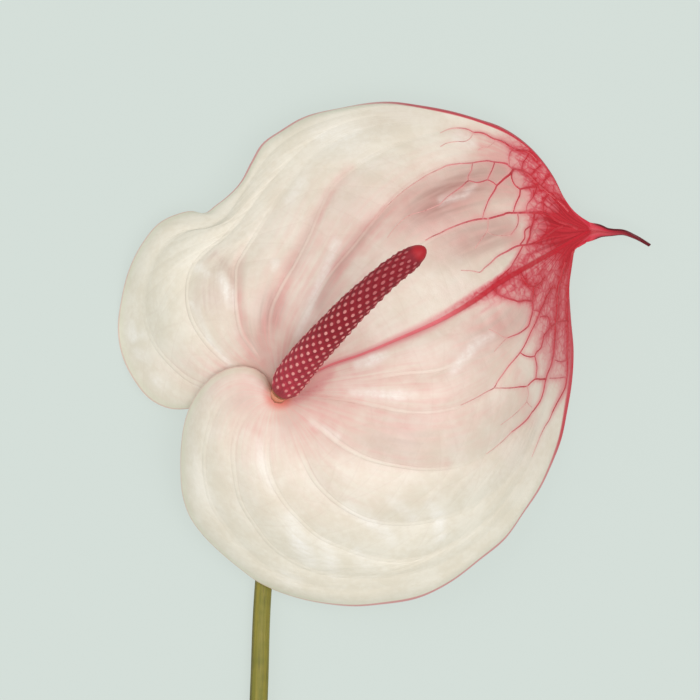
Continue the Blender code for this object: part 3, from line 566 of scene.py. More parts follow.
# Drawn veins: half width and strength of colour at the start and at the end, and the course
drawnVeins = [
    (0.1, 0.1, 0.15, 0.32, [(25.1, 46.4), (29.2, 51), (33.2, 54.5), (38.6, 58.2)]),
    (0.1, 0.1, 0.14, 0.3, [(28.4, 41.6), (30.5, 44.3), (33.8, 47.3), (38.6, 48.9), (42.5, 50.5)]),
    (0.12, 0.15, 0.19, 0.55, [(42.7, 69.9), (44.3, 70.7), (45.9, 71.2), (48, 71.3), (50.3, 70.9),
     (51.7, 70.1)]),
    (0.2, 0.75, 0.32, 1, [(51.7, 70.1), (53.4, 70.1), (55.1, 69.6), (56.2, 68.9), (57.5, 68.3),
     (58.9, 67.9), (60.2, 67.3), (61.7, 66.2), (62.9, 65.4), (64.2, 65.3), (65.9, 65.1), (67.2, 64.4),
     (68.9, 62.6)]),
    (0.14, 0.3, 0.41, 1, [(38.6, 58.2), (40.5, 59.2), (42.7, 60.2), (44.3, 61), (48, 61.6),
     (51.2, 61.8), (53.4, 62.2), (55.4, 62.4), (57.5, 62.1), (59.3, 61.9), (60.7, 61.6), (61.7, 60.7),
     (62.6, 60.3), (64.4, 59.9), (65.9, 59.2), (67.4, 58), (68.9, 56.5), (70.7, 55), (72.5, 53.5),
     (74.3, 52.1), (75.9, 50.6), (77.5, 48.9)]),
    (0.32, 0.9, 0.14, 0.45, [(62.6, 60.3), (61.7, 58.9), (60.2, 57.7), (59, 56.6), (58, 55.7),
     (57.5, 54.6), (56.6, 53.2), (55.7, 51.7), (55, 49.9), (54.4, 48.3), (54.1, 46.8)]),
    (0.2, 0.7, 0.14, 0.3, [(58, 55.7), (56.9, 56.6), (55.4, 57.2), (53.9, 56.7), (52.4, 56.5),
     (50.3, 56.9), (48.5, 55.4), (46.7, 54.1), (44.3, 52.3), (42.5, 50.5)]),
    (0.14, 0.4, 0.14, 0.45, [(50.3, 56.9), (50.2, 58), (51.1, 59.8), (51.4, 61.7)]),
    (0.15, 0.5, 0.18, 0.6, [(55.4, 57.2), (55.9, 58.3), (56.9, 60.4), (57.4, 62)]),
    (0.22, 0.75, 0.24, 0.85, [(62.2, 59.7), (62, 58.3), (62.9, 55.9), (64.3, 54.8)]),
    (0.24, 0.8, 0.27, 0.9, [(64.3, 54.8), (65.6, 55.1), (67.4, 55.4), (69.4, 55.6)]),
    (0.24, 0.8, 0.18, 0.6, [(64.3, 54.8), (64.2, 53.2), (63.5, 51.7), (62.9, 50.2), (62.4, 48.3)]),
    (0.16, 0.35, 0.41, 1, [(38.6, 40.8), (40.5, 41.9), (42.6, 42.8), (44.3, 43.7), (46.4, 44.6),
     (49.1, 45.6), (51.5, 46.3), (53.9, 46.7), (55.7, 46.8), (57.5, 47.3), (59.3, 47.8), (61.1, 48.3),
     (63.5, 48.4), (65.9, 48.5), (68.3, 48.4), (70.7, 48.3), (72.5, 47.6), (74, 46.4), (75.5, 45.8),
     (77.9, 45), (79.9, 44)]),
    (0.14, 0.3, 0.12, 0.15, [(55.6, 46.6), (55.6, 45.1), (55.3, 43.3), (54.2, 41.8), (53, 40.1),
     (52.1, 38.8)]),
    (0.12, 0.2, 0.11, 0.15, [(55.3, 43.3), (56.6, 42.5), (59.3, 42.2), (61.5, 42.2)]),
    (0.16, 0.55, 0.14, 0.4, [(63.6, 48.3), (63.8, 46.5), (63.5, 44.9), (62.5, 43.4), (61.7, 42.4)]),
    (0.24, 0.85, 0.24, 0.8, [(68.2, 48.3), (67.9, 46), (67.1, 43.8), (66.9, 42.1), (66, 40)]),
    (0.18, 0.7, 0.19, 0.7, [(67, 44.8), (65.6, 43.6), (65.5, 41.6), (64.2, 39.7)]),
    (0.12, 0.2, 0.35, 1, [(48.2, 32.8), (51.5, 32.6), (53.4, 32.3), (54.5, 33.4), (56.1, 34.7),
     (57.5, 36.1), (58.8, 37), (60.8, 38), (62.3, 38.9), (63.8, 39.5), (65.9, 39.7), (67.7, 40.1),
     (69.6, 40.9), (71, 41.9), (72.5, 43), (74, 44.1), (75.9, 44.7)]),
    (0.2, 0.75, 0.16, 0.55, [(64.9, 39.3), (63.5, 36.7), (62.6, 35.2), (61.7, 33.7), (60.2, 32.2),
     (58.3, 30.6)]),
    (0.3, 0.9, 0.27, 0.85, [(64.4, 31.9), (65.6, 29.8), (66.9, 28.7), (68, 28.3)]),
    (0.19, 0.55, 0.22, 0.7, [(71, 31), (69.8, 29.5), (68, 28.3)]),
    (0.32, 0.9, 0.15, 0.5, [(68, 28.3), (67.9, 26.5), (67.6, 24.7), (67.7, 22.9), (67.6, 21.7),
     (67, 19.5), (66.5, 17.9), (65.3, 16.8), (63.8, 15.8), (62, 15.1), (60.5, 14.5)]),
    (0.12, 0.3, 0.11, 0.1, [(60.5, 14.5), (59, 15.2), (57.2, 16.3), (55.6, 17)]),
    (0.12, 0.25, 0.11, 0.1, [(60.5, 14.5), (59, 13), (57.2, 10.9)]),
    (0.22, 0.65, 0.27, 0.85, [(57.6, 27.9), (57.8, 26.6), (59.3, 25.9), (61.1, 25.2), (62.6, 24.8),
     (63.8, 24.4), (65.3, 24.7), (67.5, 24.6)]),
    (0.24, 0.8, 0.12, 0.25, [(73.2, 28.6), (71.6, 25.9), (70.7, 23.8), (69.8, 22), (69.2, 20.5),
     (68.3, 18.4), (67.1, 16.1), (66.2, 14.1), (65, 11.8), (64.2, 10.6), (62.6, 8.7), (61.1, 7),
     (59.6, 4.9), (58.1, 2.8), (57.1, 1.1), (55.1, 0.1), (53, -1.1), (50.7, -2.3), (48.1, -3.5)]),
    (0.16, 0.6, 0.16, 0.6, [(67.6, 22), (68.6, 22), (69.5, 21.5)]),
    (0.19, 0.65, 0.19, 0.7, [(64.2, 10.6), (65.6, 9.8), (67.1, 9.5), (68.2, 9.7)]),
    (0.2, 0.7, 0.27, 0.9, [(68.2, 9.7), (68.6, 10.6), (69.8, 11.8), (70.4, 13.6), (70.7, 15.1),
     (71.9, 16.6), (72.8, 17.6), (74, 18.5)]),
    (0.16, 0.6, 0.18, 0.7, [(69.6, 20.2), (71.3, 20.5), (72.1, 20), (72.4, 18.9), (72.8, 17.6)]),
    (0.19, 0.65, 0.2, 0.7, [(68.2, 9.7), (68.5, 8.5), (68.8, 6.7), (68.6, 4.9), (68.5, 3.5)]),
    (0.27, 0.9, 0.12, 0.3, [(71.4, 3.5), (69.8, 3.4), (68.5, 3.5), (67.4, 2.8), (66.1, 1.6),
     (64.2, 1.4), (61.5, 1.1), (59, 1.1), (57.1, 1.1)]),
    (0.12, 0.35, 0.11, 0.2, [(66.1, 1.6), (66.5, -0.5), (66.1, -2.6), (67.4, -4.1)]),
    (0.12, 0.25, 0.11, 0.1, [(66.1, -2.6), (65, -3.8), (63.2, -5.6), (61.1, -7.3), (58.9, -8.9)]),
    (0.43, 1, 0.19, 0.5, [(76.7, 35.1), (75.6, 31.6), (74.7, 27.6), (74.6, 24.7), (74.3, 21.7),
     (74, 18.7), (73.9, 15.7), (73.7, 12.7), (73.3, 9.7), (72.5, 6.7), (71.6, 4.6), (71, 2.2),
     (70.6, 0.1), (69.8, -2.3), (68.6, -4.1), (67.4, -5.6), (66.2, -7.3), (63.7, -9.5), (61.8, -10.9)]),
    (0.16, 0.4, 0.11, 0.12, [(61.8, -10.9), (59.7, -13), (57.5, -14.9), (55.1, -16.7)]),
    (0.38, 1, 0.22, 0.7, [(78.8, 38.3), (78, 32.9), (77.5, 27.5), (77.3, 21.7), (77.3, 18.7),
     (77.2, 15.7), (77.3, 12.7), (77.2, 9.7), (77.3, 6.7), (77.1, 3.7), (76.7, 1.3), (75.5, -1.1),
     (74.3, -3.2), (73.1, -5.6)]),
    (0.2, 0.6, 0.11, 0.15, [(73.1, -5.6), (72.4, -7.3), (71, -9.5), (69.7, -12.2), (68.6, -14.9),
     (67.5, -17.6)]),
    (0.19, 0.6, 0.19, 0.6, [(74, 18.7), (75.5, 19), (77.2, 19.3)]),
    (0.16, 0.5, 0.16, 0.5, [(73.7, 8.7), (75.2, 8.2), (77.2, 8.5)]),
    (0.16, 0.5, 0.16, 0.5, [(72.3, 3.7), (74, 3.7), (77, 4)]),
    (0.14, 0.3, 0.18, 0.6, [(61.4, 61.4), (61.3, 63.5), (62, 65.1), (62.8, 65.4)]),
    (0.14, 0.45, 0.16, 0.6, [(64.8, 59.7), (65.1, 61.8), (66.2, 63.5), (66.7, 64.8)]),
    (0.14, 0.45, 0.16, 0.6, [(67.2, 58.1), (68.3, 59.9), (69.7, 61)]),
    (0.16, 0.6, 0.16, 0.6, [(69.9, 55.6), (71.3, 57.5), (72.4, 58.9)]),
    (0.16, 0.5, 0.16, 0.5, [(68, 52.9), (68.6, 54.5), (69, 56)]),
    (0.14, 0.4, 0.16, 0.55, [(66, 48.6), (66.2, 50.5), (67.8, 52.7), (68, 54.5)]),
    (0.16, 0.6, 0.16, 0.6, [(70.5, 48.3), (70.6, 51), (71.6, 53.5)]),
    (0.14, 0.25, 0.12, 0.12, [(53, 65.3), (53.9, 65.9), (55.7, 66.2), (56.9, 67.1), (57.8, 67.9)]),
    (0.12, 0.15, 0.12, 0.12, [(42.7, 66.2), (44.3, 67.1), (47, 67.6), (50, 67.9), (50.9, 68.6),
     (51.5, 69.9)]),
]
# Patches where the flesh is pressed in, by so many millimetres
spatheDents = [
    (-17.3, 35.1, 4.6, 2.4, 55, 0.9),
    (-2.2, 36.5, 2.4, 1.4, 50, 0.5),
    (-11.9, 33.5, 3.8, 1.1, 80, 0.5),
    (-7.3, 24.8, 4.9, 2.2, 100, 0.4),
    (-41.6, 3.2, 3.2, 2.2, 50, -0.5),
]
spathe = {
    "claspAt": (-0.9, -0.9),
    "claspRadii": (2.1, 2.3),
    "rows": 228,
    "rowStep": (2.6, 0.9),  # relative distance between rows, at the stem and at the tail
    "columns": (8, 8, 9, 10, 13, 13, 11, 15, 15, 13, 12, 12, 11, 12, 10),  # in each band between veins
    "tailRows": 34,
    "thick": 0.8,
    "rimThick": 0.55,  # share of the thickness that is left at the rim
    "rimTaper": 2.5,
    "thickLevels": 10,
    "free": (4.5, 13.0),  # veins closer than the first of these share one smooth band
    "pillowHigh": 1.2,
    "pillowWide": 13.0,
    "pillowBlunt": 0.8,
    "lumpHigh": 0.8,  # broad lumps of the flesh between veins
    "lumpSize": 13.0,
    "lumpFrom": (2.0, 14.0),
    "wrinkleHigh": 0.08,  # wrinkles that run along the veins
    "wrinkleLong": 9.0,
    "wrinklesAcross": 4.2,  # in each band between veins
    "wrinkleFrom": (3.0, 12.0),
    "wrinkleTo": (45.0, 80.0),
    "wrinkleLess": 0.6,
    "cellHigh": 0.16,  # the small swellings between the finer veins
    "cellSize": 6.5,
    "cellsAcross": 0.9,
    "cellRound": 0.45,
    "fleshBlunt": 0.6,
    "leastSquare": 0.2,  # as the sine of the angle between a row and a vein
    "ribHigh": 0.1,
    "ribWide": 0.8,
    "ribTo": 0.99,  # share of the way to the rim
    "rimRoll": 2.2,
    "rimShare": 0.12,
    "rollFree": 8.0,
    "tailFade": 50,
    "rimLead": 0.2,
    "lobeLift": 2.7,
    "lobeSpot": (-15.0, 1.0),
    "lobeReach": 22.0,
}
tail = {
    "path": [
        (83.2, 43.3, 9.8, 5.2), (85.9, 43.4, 9.5, 3.6), (87.6, 43.1, 9.2, 2.4), (89.6, 43.0, 8.9, 1.8),
        (92.0, 43.0, 8.5, 1.45), (95.5, 41.7, 7.8, 1.1), (99.4, 39.4, 7.2, 0.8),
    ],
    "turn": math.radians(70),
    "gutter": 0.35,
}
lastVein = len(veins) - 1
midrib = 8
bundles = ((0, 5), (lastVein, 11))  # the finer veins near each rim run on between these two
joinRun = 24  # stations from the last point of a finer vein to where it joins the rest
bundleStep = 12  # stations between the points that it follows from there
bundleStop = 5  # stations that are left to the tail after the last of them


def bending(distance):
    return np.where(distance > 0, distance**2 * np.log(np.maximum(distance, 1e-9)), 0.0)


# The height of the sheet that bends least through the known heights
def sheetHeight(x, y):
    known = np.array(heights)
    count = len(known)
    flat = np.column_stack([np.ones(count), known[:, :2]])
    matrix = np.zeros((count + 3, count + 3))
    matrix[:count, :count] = bending(np.linalg.norm(known[:, None, :2] - known[None, :, :2], axis=2))
    matrix[:count, count:] = flat
    matrix[count:, :count] = flat.T
    weights = np.linalg.solve(matrix, np.concatenate([known[:, 2], np.zeros(3)]))
    bent = bending(np.hypot(x[..., None] - known[:, 0], y[..., None] - known[:, 1])) @ weights[:count]
    return bent + weights[count] + weights[count + 1] * x + weights[count + 2] * y


# -1 at the lower rim, 0 at the midrib and 1 at the upper rim
def shareAcross(place):
    return np.where(place < midrib, (place - midrib) / midrib, (place - midrib) / (lastVein - midrib))


# Every rim and main vein from the stem to the tail, with a point at each station
def veinCourses():
    courses = [None] * len(veins)
    inBundle = [*range(bundles[0][0] + 1, bundles[0][1]), *range(bundles[1][1] + 1, bundles[1][0])]
    rootX, rootY, _, rootWide = tail["path"][0]
    for place in sorted(range(len(veins)), key=lambda place: place in inBundle):
        angle, points = veins[place]
        turn = math.radians(angle)
        clasp = (
            spathe["claspAt"][0] + spathe["claspRadii"][0] * math.cos(turn),
            spathe["claspAt"][1] + spathe["claspRadii"][1] * math.sin(turn),
        )
        whole = [clasp] + points
        if place in inBundle:
            rim, inner = bundles[0] if place < midrib else bundles[1]
            bundle = courses[rim] + (courses[inner] - courses[rim]) * (place - rim) / (inner - rim)
            joins = int(np.argmin(np.linalg.norm(bundle - points[-1], axis=1))) + joinRun
            whole += [tuple(point) for point in bundle[joins:-bundleStop:bundleStep]]
        root = (rootX, rootY + rootWide * (place / lastVein - 0.5))
        lead = 1 - spathe["rimLead"] * float(shareAcross(np.array(place))) ** 2
        courses[place] = smoothPath(whole + [root], stations + 1, lead)
    return np.array(courses)


# The rows from the stem to the tail: their stations, the places of their columns, and their plan
def spatheGrid():
    q = np.linspace(0.0, 1.0, spathe["rows"])
    early, late = spathe["rowStep"]
    station = stations * (early * q - (early - late) / 2 * q**2) / (early - (early - late) / 2)
    place = [0.0]
    for band, count in enumerate(spathe["columns"]):
        place += [band + (n + 1) / count for n in range(count)]
    place = np.array(place)
    courses = veinCourses()
    low = np.minimum(station.astype(int), stations - 1)
    part = (station - low)[None, :, None]
    course = courses[:, low] * (1 - part) + courses[:, low + 1] * part
    band = np.minimum(place.astype(int), lastVein - 1)
    near, far = course[band], course[band + 1]
    plan = (near + (far - near) * (place - band)[:, None, None]).transpose(1, 0, 2)
    wide = np.linalg.norm(far - near, axis=2).T
    return station, place, band, plan, wide


# The distance from each point of a row to the nearest main vein, square to that vein
def veinGaps(place, band, plan, wide):
    share = (place - band)[None, :]
    alongRow = np.gradient(plan, axis=1)
    alongVein = np.gradient(plan, axis=0)
    cross = np.abs(alongRow[..., 0] * alongVein[..., 1] - alongRow[..., 1] * alongVein[..., 0])
    length = np.linalg.norm(alongRow, axis=2) * np.linalg.norm(alongVein, axis=2)
    squareness = np.clip(cross / np.maximum(length, 1e-9), spathe["leastSquare"], 1.0)
    return np.minimum(share, 1 - share) * wide * squareness


def spatheFace(station, place, band, plan, wide, along):
    x, y = plan[..., 0], plan[..., 1]
    share = (place - band)[None, :]
    arch = np.clip(np.sin(math.pi * share), 0.0, 1.0)
    free = fade(wide, *spathe["free"])
    pillow = np.minimum(wide / spathe["pillowWide"], 1.0) * free * arch ** spathe["pillowBlunt"]
    z = sheetHeight(x, y) + spathe["pillowHigh"] * pillow

    # The rims roll under, and one lobe passes over the other
    across = shareAcross(place)[None, :]
    roll = np.clip((np.abs(across) - 1 + spathe["rimShare"]) / spathe["rimShare"], 0.0, 1.0)
    nearTail = np.minimum(1.0, (stations - station) / spathe["tailFade"])[:, None]
    z = z - spathe["rimRoll"] * nearTail * roll**3 * np.clip(z / spathe["rollFree"], 0.0, 1.0)
    spotX, spotY = spathe["lobeSpot"]
    away = np.hypot(x - spotX, y - spotY) / spathe["lobeReach"]
    z = z - spathe["lobeLift"] * np.exp(-(away**2)) * np.sin(math.pi / 2 * across)

    # Between the veins the flesh has broad lumps, wrinkles that follow the veins, and small swellings
    lump, wrinkle, swell = np.zeros((3, *x.shape))
    finer = Vector((1 / spathe["wrinkleLong"], spathe["wrinklesAcross"], 0))
    for r, c in np.ndindex(x.shape):
        spot = Vector((x[r, c], y[r, c], 0.0))
        onVein = Vector((along[r, c], place[c], 0.0))
        lump[r, c] = noise.noise(spot / spathe["lumpSize"])
        wrinkle[r, c] = noise.noise(onVein * finer)
        cell = Vector((onVein.x / spathe["cellSize"], onVein.y * spathe["cellsAcross"], 0.0))
        near = noise.voronoi(cell)[0]
        swell[r, c] = near[1] - near[0]
    flesh = free * arch ** spathe["fleshBlunt"] * nearTail
    calmer = 1 - spathe["wrinkleLess"] * fade(along, *spathe["wrinkleTo"])
    wrinkled = fade(along, *spathe["wrinkleFrom"]) * calmer
    fine = spathe["wrinkleHigh"] * wrinkle * wrinkled
    fine = fine + spathe["cellHigh"] * fade(swell, 0.0, spathe["cellRound"])
    lumps = spathe["lumpHigh"] * lump * nearTail * (1 - roll) * fade(along, *spathe["lumpFrom"])
    z = z + lumps + flesh * fine
    # Each main vein is a rib, but not the rims
    gap = veinGaps(place, band, plan, wide)
    rib = np.exp(-((gap / spathe["ribWide"]) ** 2)) * free * nearTail
    z = z + spathe["ribHigh"] * np.where(np.abs(across) < spathe["ribTo"], rib, 0.0)
    z = z - patches(x, y, spatheDents) * nearTail
    return np.stack([x, y, z], axis=2)


# The tail is a narrow gutter that turns about its own length
def tailFace(place):
    path = smoothPath(tail["path"], spathe["tailRows"] + 1)
    rows = []
    for n in range(1, spathe["tailRows"] + 1):
        share = n / spathe["tailRows"]
        wide = path[n][3]
        along = Vector((path[n] - path[n - 1])[:3]).normalized()
        flat = Vector((0, 0, 1)).cross(along).normalized()
        turn = tail["turn"] * share
        across = flat * math.cos(turn) + along.cross(flat) * math.sin(turn)
        face = along.cross(across)
        side = place / lastVein - 0.5
        dip = tail["gutter"] * share * wide * (1 - 4 * side * side)
        rows.append(path[n][:3] + np.outer(side * wide, across) - np.outer(dip, face))
    return np.array(rows)


# How red the flesh is: it turns red within a reach of the tail that changes from side to side
def redShare(x, y):
    dx, dy = x - redFrom[0], y - redFrom[1]
    angle = np.degrees(np.arctan2(dy, dx)) % 360
    table = np.array(redReach)
    solid = np.interp(angle, table[:, 0], table[:, 1])
    faint = np.interp(angle, table[:, 0], table[:, 2])
    return 1 - np.clip((np.hypot(dx, dy) - solid) / (faint - solid), 0.0, 1.0)


# Where the colours change. Four numbers stand for: the value at first, the value at last, and the
# distances between which it changes, from left to right or along the veins
marking = {
    "veinBold": (0.32, 0.18, 6.0, 40.0),  # half width of a main vein's rib
    "midribBold": (0.3, 0.7, 16.0, 60.0),
    "veinPale": (1.0, 0.0, 36.0, 64.0),  # near the tail the side veins are drawn ones
    "veinDim": (1.0, 0.4, 20.0, 60.0),
    "midribInk": (0.55, 1.0, 28.0, 58.0),
    "tailRoot": (3.0, 21.0),
    "baseRing": (1.5, 6.0),
    "farOff": 9.0,
    "rimSquare": 0.9,  # from the distance along a row to the distance from the rim
    "tailWide": (4.6, 0.85),
    "rimInk": 0.1,
    "upperLobe": (0.0, 0.16, -25.0, -8.0),
    "upperLobeEnd": (1.0, 0.0, 0.0, 20.0),
    "upperRed": (0.0, 0.9, 15.0, 45.0),
    "lowerInk": 0.06,
    "lowerPink": (0.0, 0.34, -5.0, 40.0),
    "lowerRed": (0.0, 0.5, 40.0, 60.0),
    "lowerRedFrom": (0.0, 1.0, -30.0, 0.0),  # from front to back
    "blushSharp": 2.6,
    "paintedHighlightSharp": 3.0,
    "netSpread": (1.4, 0.5),  # of the pink beside a drawn vein: times its width, and more than it
}


# The distance from the nearest rim, on the face and on the tail
def rimGaps(place, wide):
    inward = np.minimum(place, lastVein - place)[None, :]
    tailWide = np.linspace(*marking["tailWide"], spathe["tailRows"])[:, None]
    return np.concatenate([inward * wide * marking["rimSquare"], inward / lastVein * tailWide])


# Marks that the colours follow, worked out at each point of the open face and the tail
def spatheMarks(x, y, place, band, plan, wide, along, rimGap):
    tailRows = spathe["tailRows"]
    rows = len(x) - tailRows
    even = np.zeros_like(x)
    tailShare = even + np.clip((np.arange(len(x)) - rows + 1) / tailRows, 0.0, 1.0)[:, None]
    nearest = np.rint(place).astype(int)[None, :]
    isMidrib = nearest == midrib
    isRim = (nearest == 0) | (nearest == lastVein)
    length = np.concatenate([along, along[-1:] + np.zeros((tailRows, 1))])
    gap = even + marking["farOff"]
    gap[:rows] = veinGaps(place, band, plan, wide)
    bold = np.where(isMidrib, ramp(x, *marking["midribBold"]), ramp(length, *marking["veinBold"]))
    loose = np.concatenate([fade(wide, *spathe["free"]), even[rows:]])
    pale = ramp(x, *marking["veinPale"]) * ramp(length, *marking["veinDim"]) * loose
    lobe = ramp(x, *marking["upperLobe"]) * ramp(x, *marking["upperLobeEnd"])
    upperInk = marking["rimInk"] + lobe + ramp(x, *marking["upperRed"])
    lowerRed = ramp(x, *marking["lowerRed"]) * ramp(y, *marking["lowerRedFrom"])
    lowerInk = marking["lowerInk"] + ramp(x, *marking["lowerPink"]) + lowerRed
    halos = []
    for startWide, startInk, endWide, endInk, line in drawnVeins:
        inks = np.linspace(startInk, endInk, len(line))
        wides = np.linspace(startWide, endWide, len(line)) * marking["netSpread"][0] + marking["netSpread"][1]
        halos.append([(*spot, *pair) for spot, pair in zip(line, zip(wides, inks))])
    red = redShare(x, y)
    claspX, claspY = spathe["claspAt"]
    return {
        "veinGap": np.where(isRim, marking["farOff"], gap / bold),
        "veinInk": np.where(isMidrib, ramp(x, *marking["midribInk"]), 0.0),
        "pale": np.where(isMidrib, 0.0, pale),
        "loose": loose,
        "rimGap": rimGap,
        "rimInk": np.where((place > midrib)[None, :], upperInk, lowerInk),
        "blush": strokes(x, y, patches(x, y, blushPatches), blushStrokes, marking["blushSharp"]),
        "shade": strokes(x, y, patches(x, y, shadePatches), shadeStrokes),
        "cells": np.where(tailShare > 0, 0.0, red),
        "red": strokes(x, y, np.where(tailShare > 0, 1.0, red), redStrokes),
        "net": strokes(x, y, even, halos),
        "paintedHighlightMask": strokes(x, y, even, paintedHighlightStrokes, marking["paintedHighlightSharp"]),
        "base": 1 - fade(np.hypot(x - claspX, y - claspY), *marking["baseRing"]),
        "tail": tailShare,
        "tailRoot": 1 - fade(np.hypot(x - redFrom[0], y - redFrom[1]), *marking["tailRoot"]),
    }


# The open face becomes flesh that is thinner at its rims
def thicken(piece, inward):
    thin = piece.vertex_groups.new(name="flesh")
    levels = spathe["thickLevels"]
    nearest = np.rint(inward * levels).astype(int)
    for level in range(levels + 1):
        chosen = np.nonzero(nearest == level)[0]
        thin.add([int(v) for v in chosen], level / levels, "REPLACE")
    solidify = piece.modifiers.new("thickness", "SOLIDIFY")
    solidify.thickness = spathe["thick"] * mm
    solidify.offset = -1
    solidify.vertex_group = "flesh"
    solidify.thickness_vertex_group = spathe["rimThick"]
    pick(piece)
    bpy.ops.object.modifier_apply(modifier=solidify.name)
    piece.vertex_groups.clear()


def buildSpathe():
    station, place, band, plan, wide = spatheGrid()
    steps = np.linalg.norm(np.diff(plan, axis=0), axis=2)
    along = np.concatenate([np.zeros((1, len(place))), np.cumsum(steps, axis=0)])
    face = spatheFace(station, place, band, plan, wide, along)
    points = np.concatenate([face, tailFace(place)])
    piece, row, column = layGrid("spathePiece", points)
    mesh = piece.data
    x, y = points[..., 0], points[..., 1]
    rimGap = rimGaps(place, wide)
    for name, values in spatheMarks(x, y, place, band, plan, wide, along, rimGap).items():
        addAttribute(mesh, name, values[row, column])
    # The map of the flesh: along each vein in centimetres, and across from vein to vein
    flesh = np.zeros((*x.shape, 2))
    flesh[: len(face), :, 0] = along / 10
    flesh[len(face) :, :, 0] = along[-1] / 10
    flesh[..., 1] = place[None, :]
    addMap(mesh, "flesh", flesh[row, column])
    if sum(polygon.normal.z for polygon in mesh.polygons) < 0:
        pick(piece)
        bpy.ops.object.mode_set(mode="EDIT")
        bpy.ops.mesh.select_all(action="SELECT")
        bpy.ops.mesh.flip_normals()
        bpy.ops.object.mode_set(mode="OBJECT")
    thicken(piece, fade(rimGap, 0.0, spathe["rimTaper"])[row, column])
    keepAboveTable(mesh)
    mesh.materials.append(spatheMaterial())
    finishPiece(piece, "spathe")


drawn = {
    "step": 0.45,
    "rayFrom": 200.0,  # height above the surface
    "seen": 0.64,  # half the width that shows, as a share of the radius of the cord
    "sunk": 0.65,  # depth of its middle, as a share of its radius
    "overRed": 1.3,  # a vein in the red flesh is always the darker of the two
}


# The red veins near the tail: fine cords sunk into the face of the spathe, on courses laid over it
def buildDrawnVeins():
    face = bpy.data.objects["spathePiece"]
    bpy.ops.object.select_all(action="DESELECT")
    bpy.ops.curve.primitive_bezier_curve_add(location=(0.0, 0.0, 0.0))
    cords = bpy.context.active_object
    cords.name = "spatheVeins"
    data = cords.data
    data.name = "spatheVeins"
    data.splines.clear()
    data.dimensions = "3D"
    data.bevel_depth = mm
    data.bevel_resolution = 1
    data.use_fill_caps = True
    inks = []
    for startWide, startInk, endWide, endInk, line in drawnVeins:
        steps = int(distances(np.array(line))[-1] / drawn["step"]) + 3
        course = smoothPath(line, steps)
        wides = np.linspace(startWide, endWide, steps)
        spots = []
        for (x, y), wide in zip(course, wides):
            top = Vector(toPart((x, y, drawn["rayFrom"])))
            hit, place, normal, _ = face.ray_cast(top, Vector((0, 0, -1)))
            if hit:
                radius = wide / drawn["seen"]
                spots.append((place - normal * radius * drawn["sunk"] * mm, radius))
        spline = data.splines.new("POLY")
        spline.points.add(len(spots) - 1)
        for point, (place, radius) in zip(spline.points, spots):
            point.co = (*place, 1.0)
            point.radius = radius
        ink = np.maximum(np.linspace(startInk, endInk, steps), drawn["overRed"] * redShare(*course.T))
        inks += [(place, share) for (place, _), share in zip(spots, ink)]
    pick(cords)
    bpy.ops.object.convert(target="MESH")
    nearest = KDTree(len(inks))
    for n, (place, _) in enumerate(inks):
        nearest.insert(place, n)
    nearest.balance()
    ink = [inks[nearest.find(Vector(point))[1]][1] for point in getCoords(cords.data)]
    addAttribute(cords.data, "ink", ink)
    cords.data.materials.append(veinMaterial())
    finishPiece(cords, "spathe")


spatheLook = {
    "cream": rgb(229, 219, 200),
    "ivory": rgb(237, 229, 213),
    "pink": rgb(226, 172, 162),
    "paintedShade": rgb(180, 132, 122),
    "veil": rgb(222, 160, 154),
    "rose": rgb(208, 92, 100),
    "crimson": rgb(194, 38, 50),
    "deep": rgb(150, 14, 26),
    "maroon": rgb(96, 14, 26),
    "rib": rgb(239, 229, 210),
    # darker tan: painted shade in the creases beside the ribs, and the fine net of veins
    "crease": rgb(190, 158, 138),
    "greenEdge": rgb(220, 220, 192),
    "rimPink": rgb(214, 112, 122),
    "paintedHighlight": rgb(250, 244, 236),
    "base": rgb(214, 118, 102),
    "bright": rgb(226, 62, 84),
    "midribRed": rgb(192, 26, 42),
    "rimRed": rgb(204, 44, 62),
    "Roughness": 0.46,
    "roughSpread": (0.05, 0.06),
    "Specular IOR Level": 0.5,
    "redSpecular": 0.26,  # the same where the flesh is fully red
    "Coat Weight": 0.06,
    "Coat Roughness": 0.3,
    "skin": (0.32, 9.0),  # size of its cells, and of the drift of its tone
    "creaseShadeInk": 0.1,
    "ribInk": 0.34,
    "midribInk": 0.92,
    "webInk": 0.07,
    "foldShadeInk": 0.6,
    "greenInk": 0.4,
    "ribHigh": 0.07,
    "creaseHigh": -0.04,
    "midribHigh": -0.16,
    "webHigh": 0.05,
    "streakHigh": 0.07,
    "mottleHigh": 0.05,
    "skinHigh": 0.014,
    "netSize": 2.4,  # of the small cells in the red flesh
    "netInk": 0.16,
    "wash": 0.6,
    "halo": 0.34,  # round the drawn veins
    "thread": (0.25, 1.6),  # width of the coloured rim, and how much a red rim adds to it
}
veinLook = {
    "Roughness": 0.46,
    "roughSpread": (0.04, 0.06),
    "Specular IOR Level": 0.5,
    "Coat Weight": 0.1,
    "Coat Roughness": 0.25,
    "skin": (0.3, 3.0),
    "skinHigh": 0.01,
}


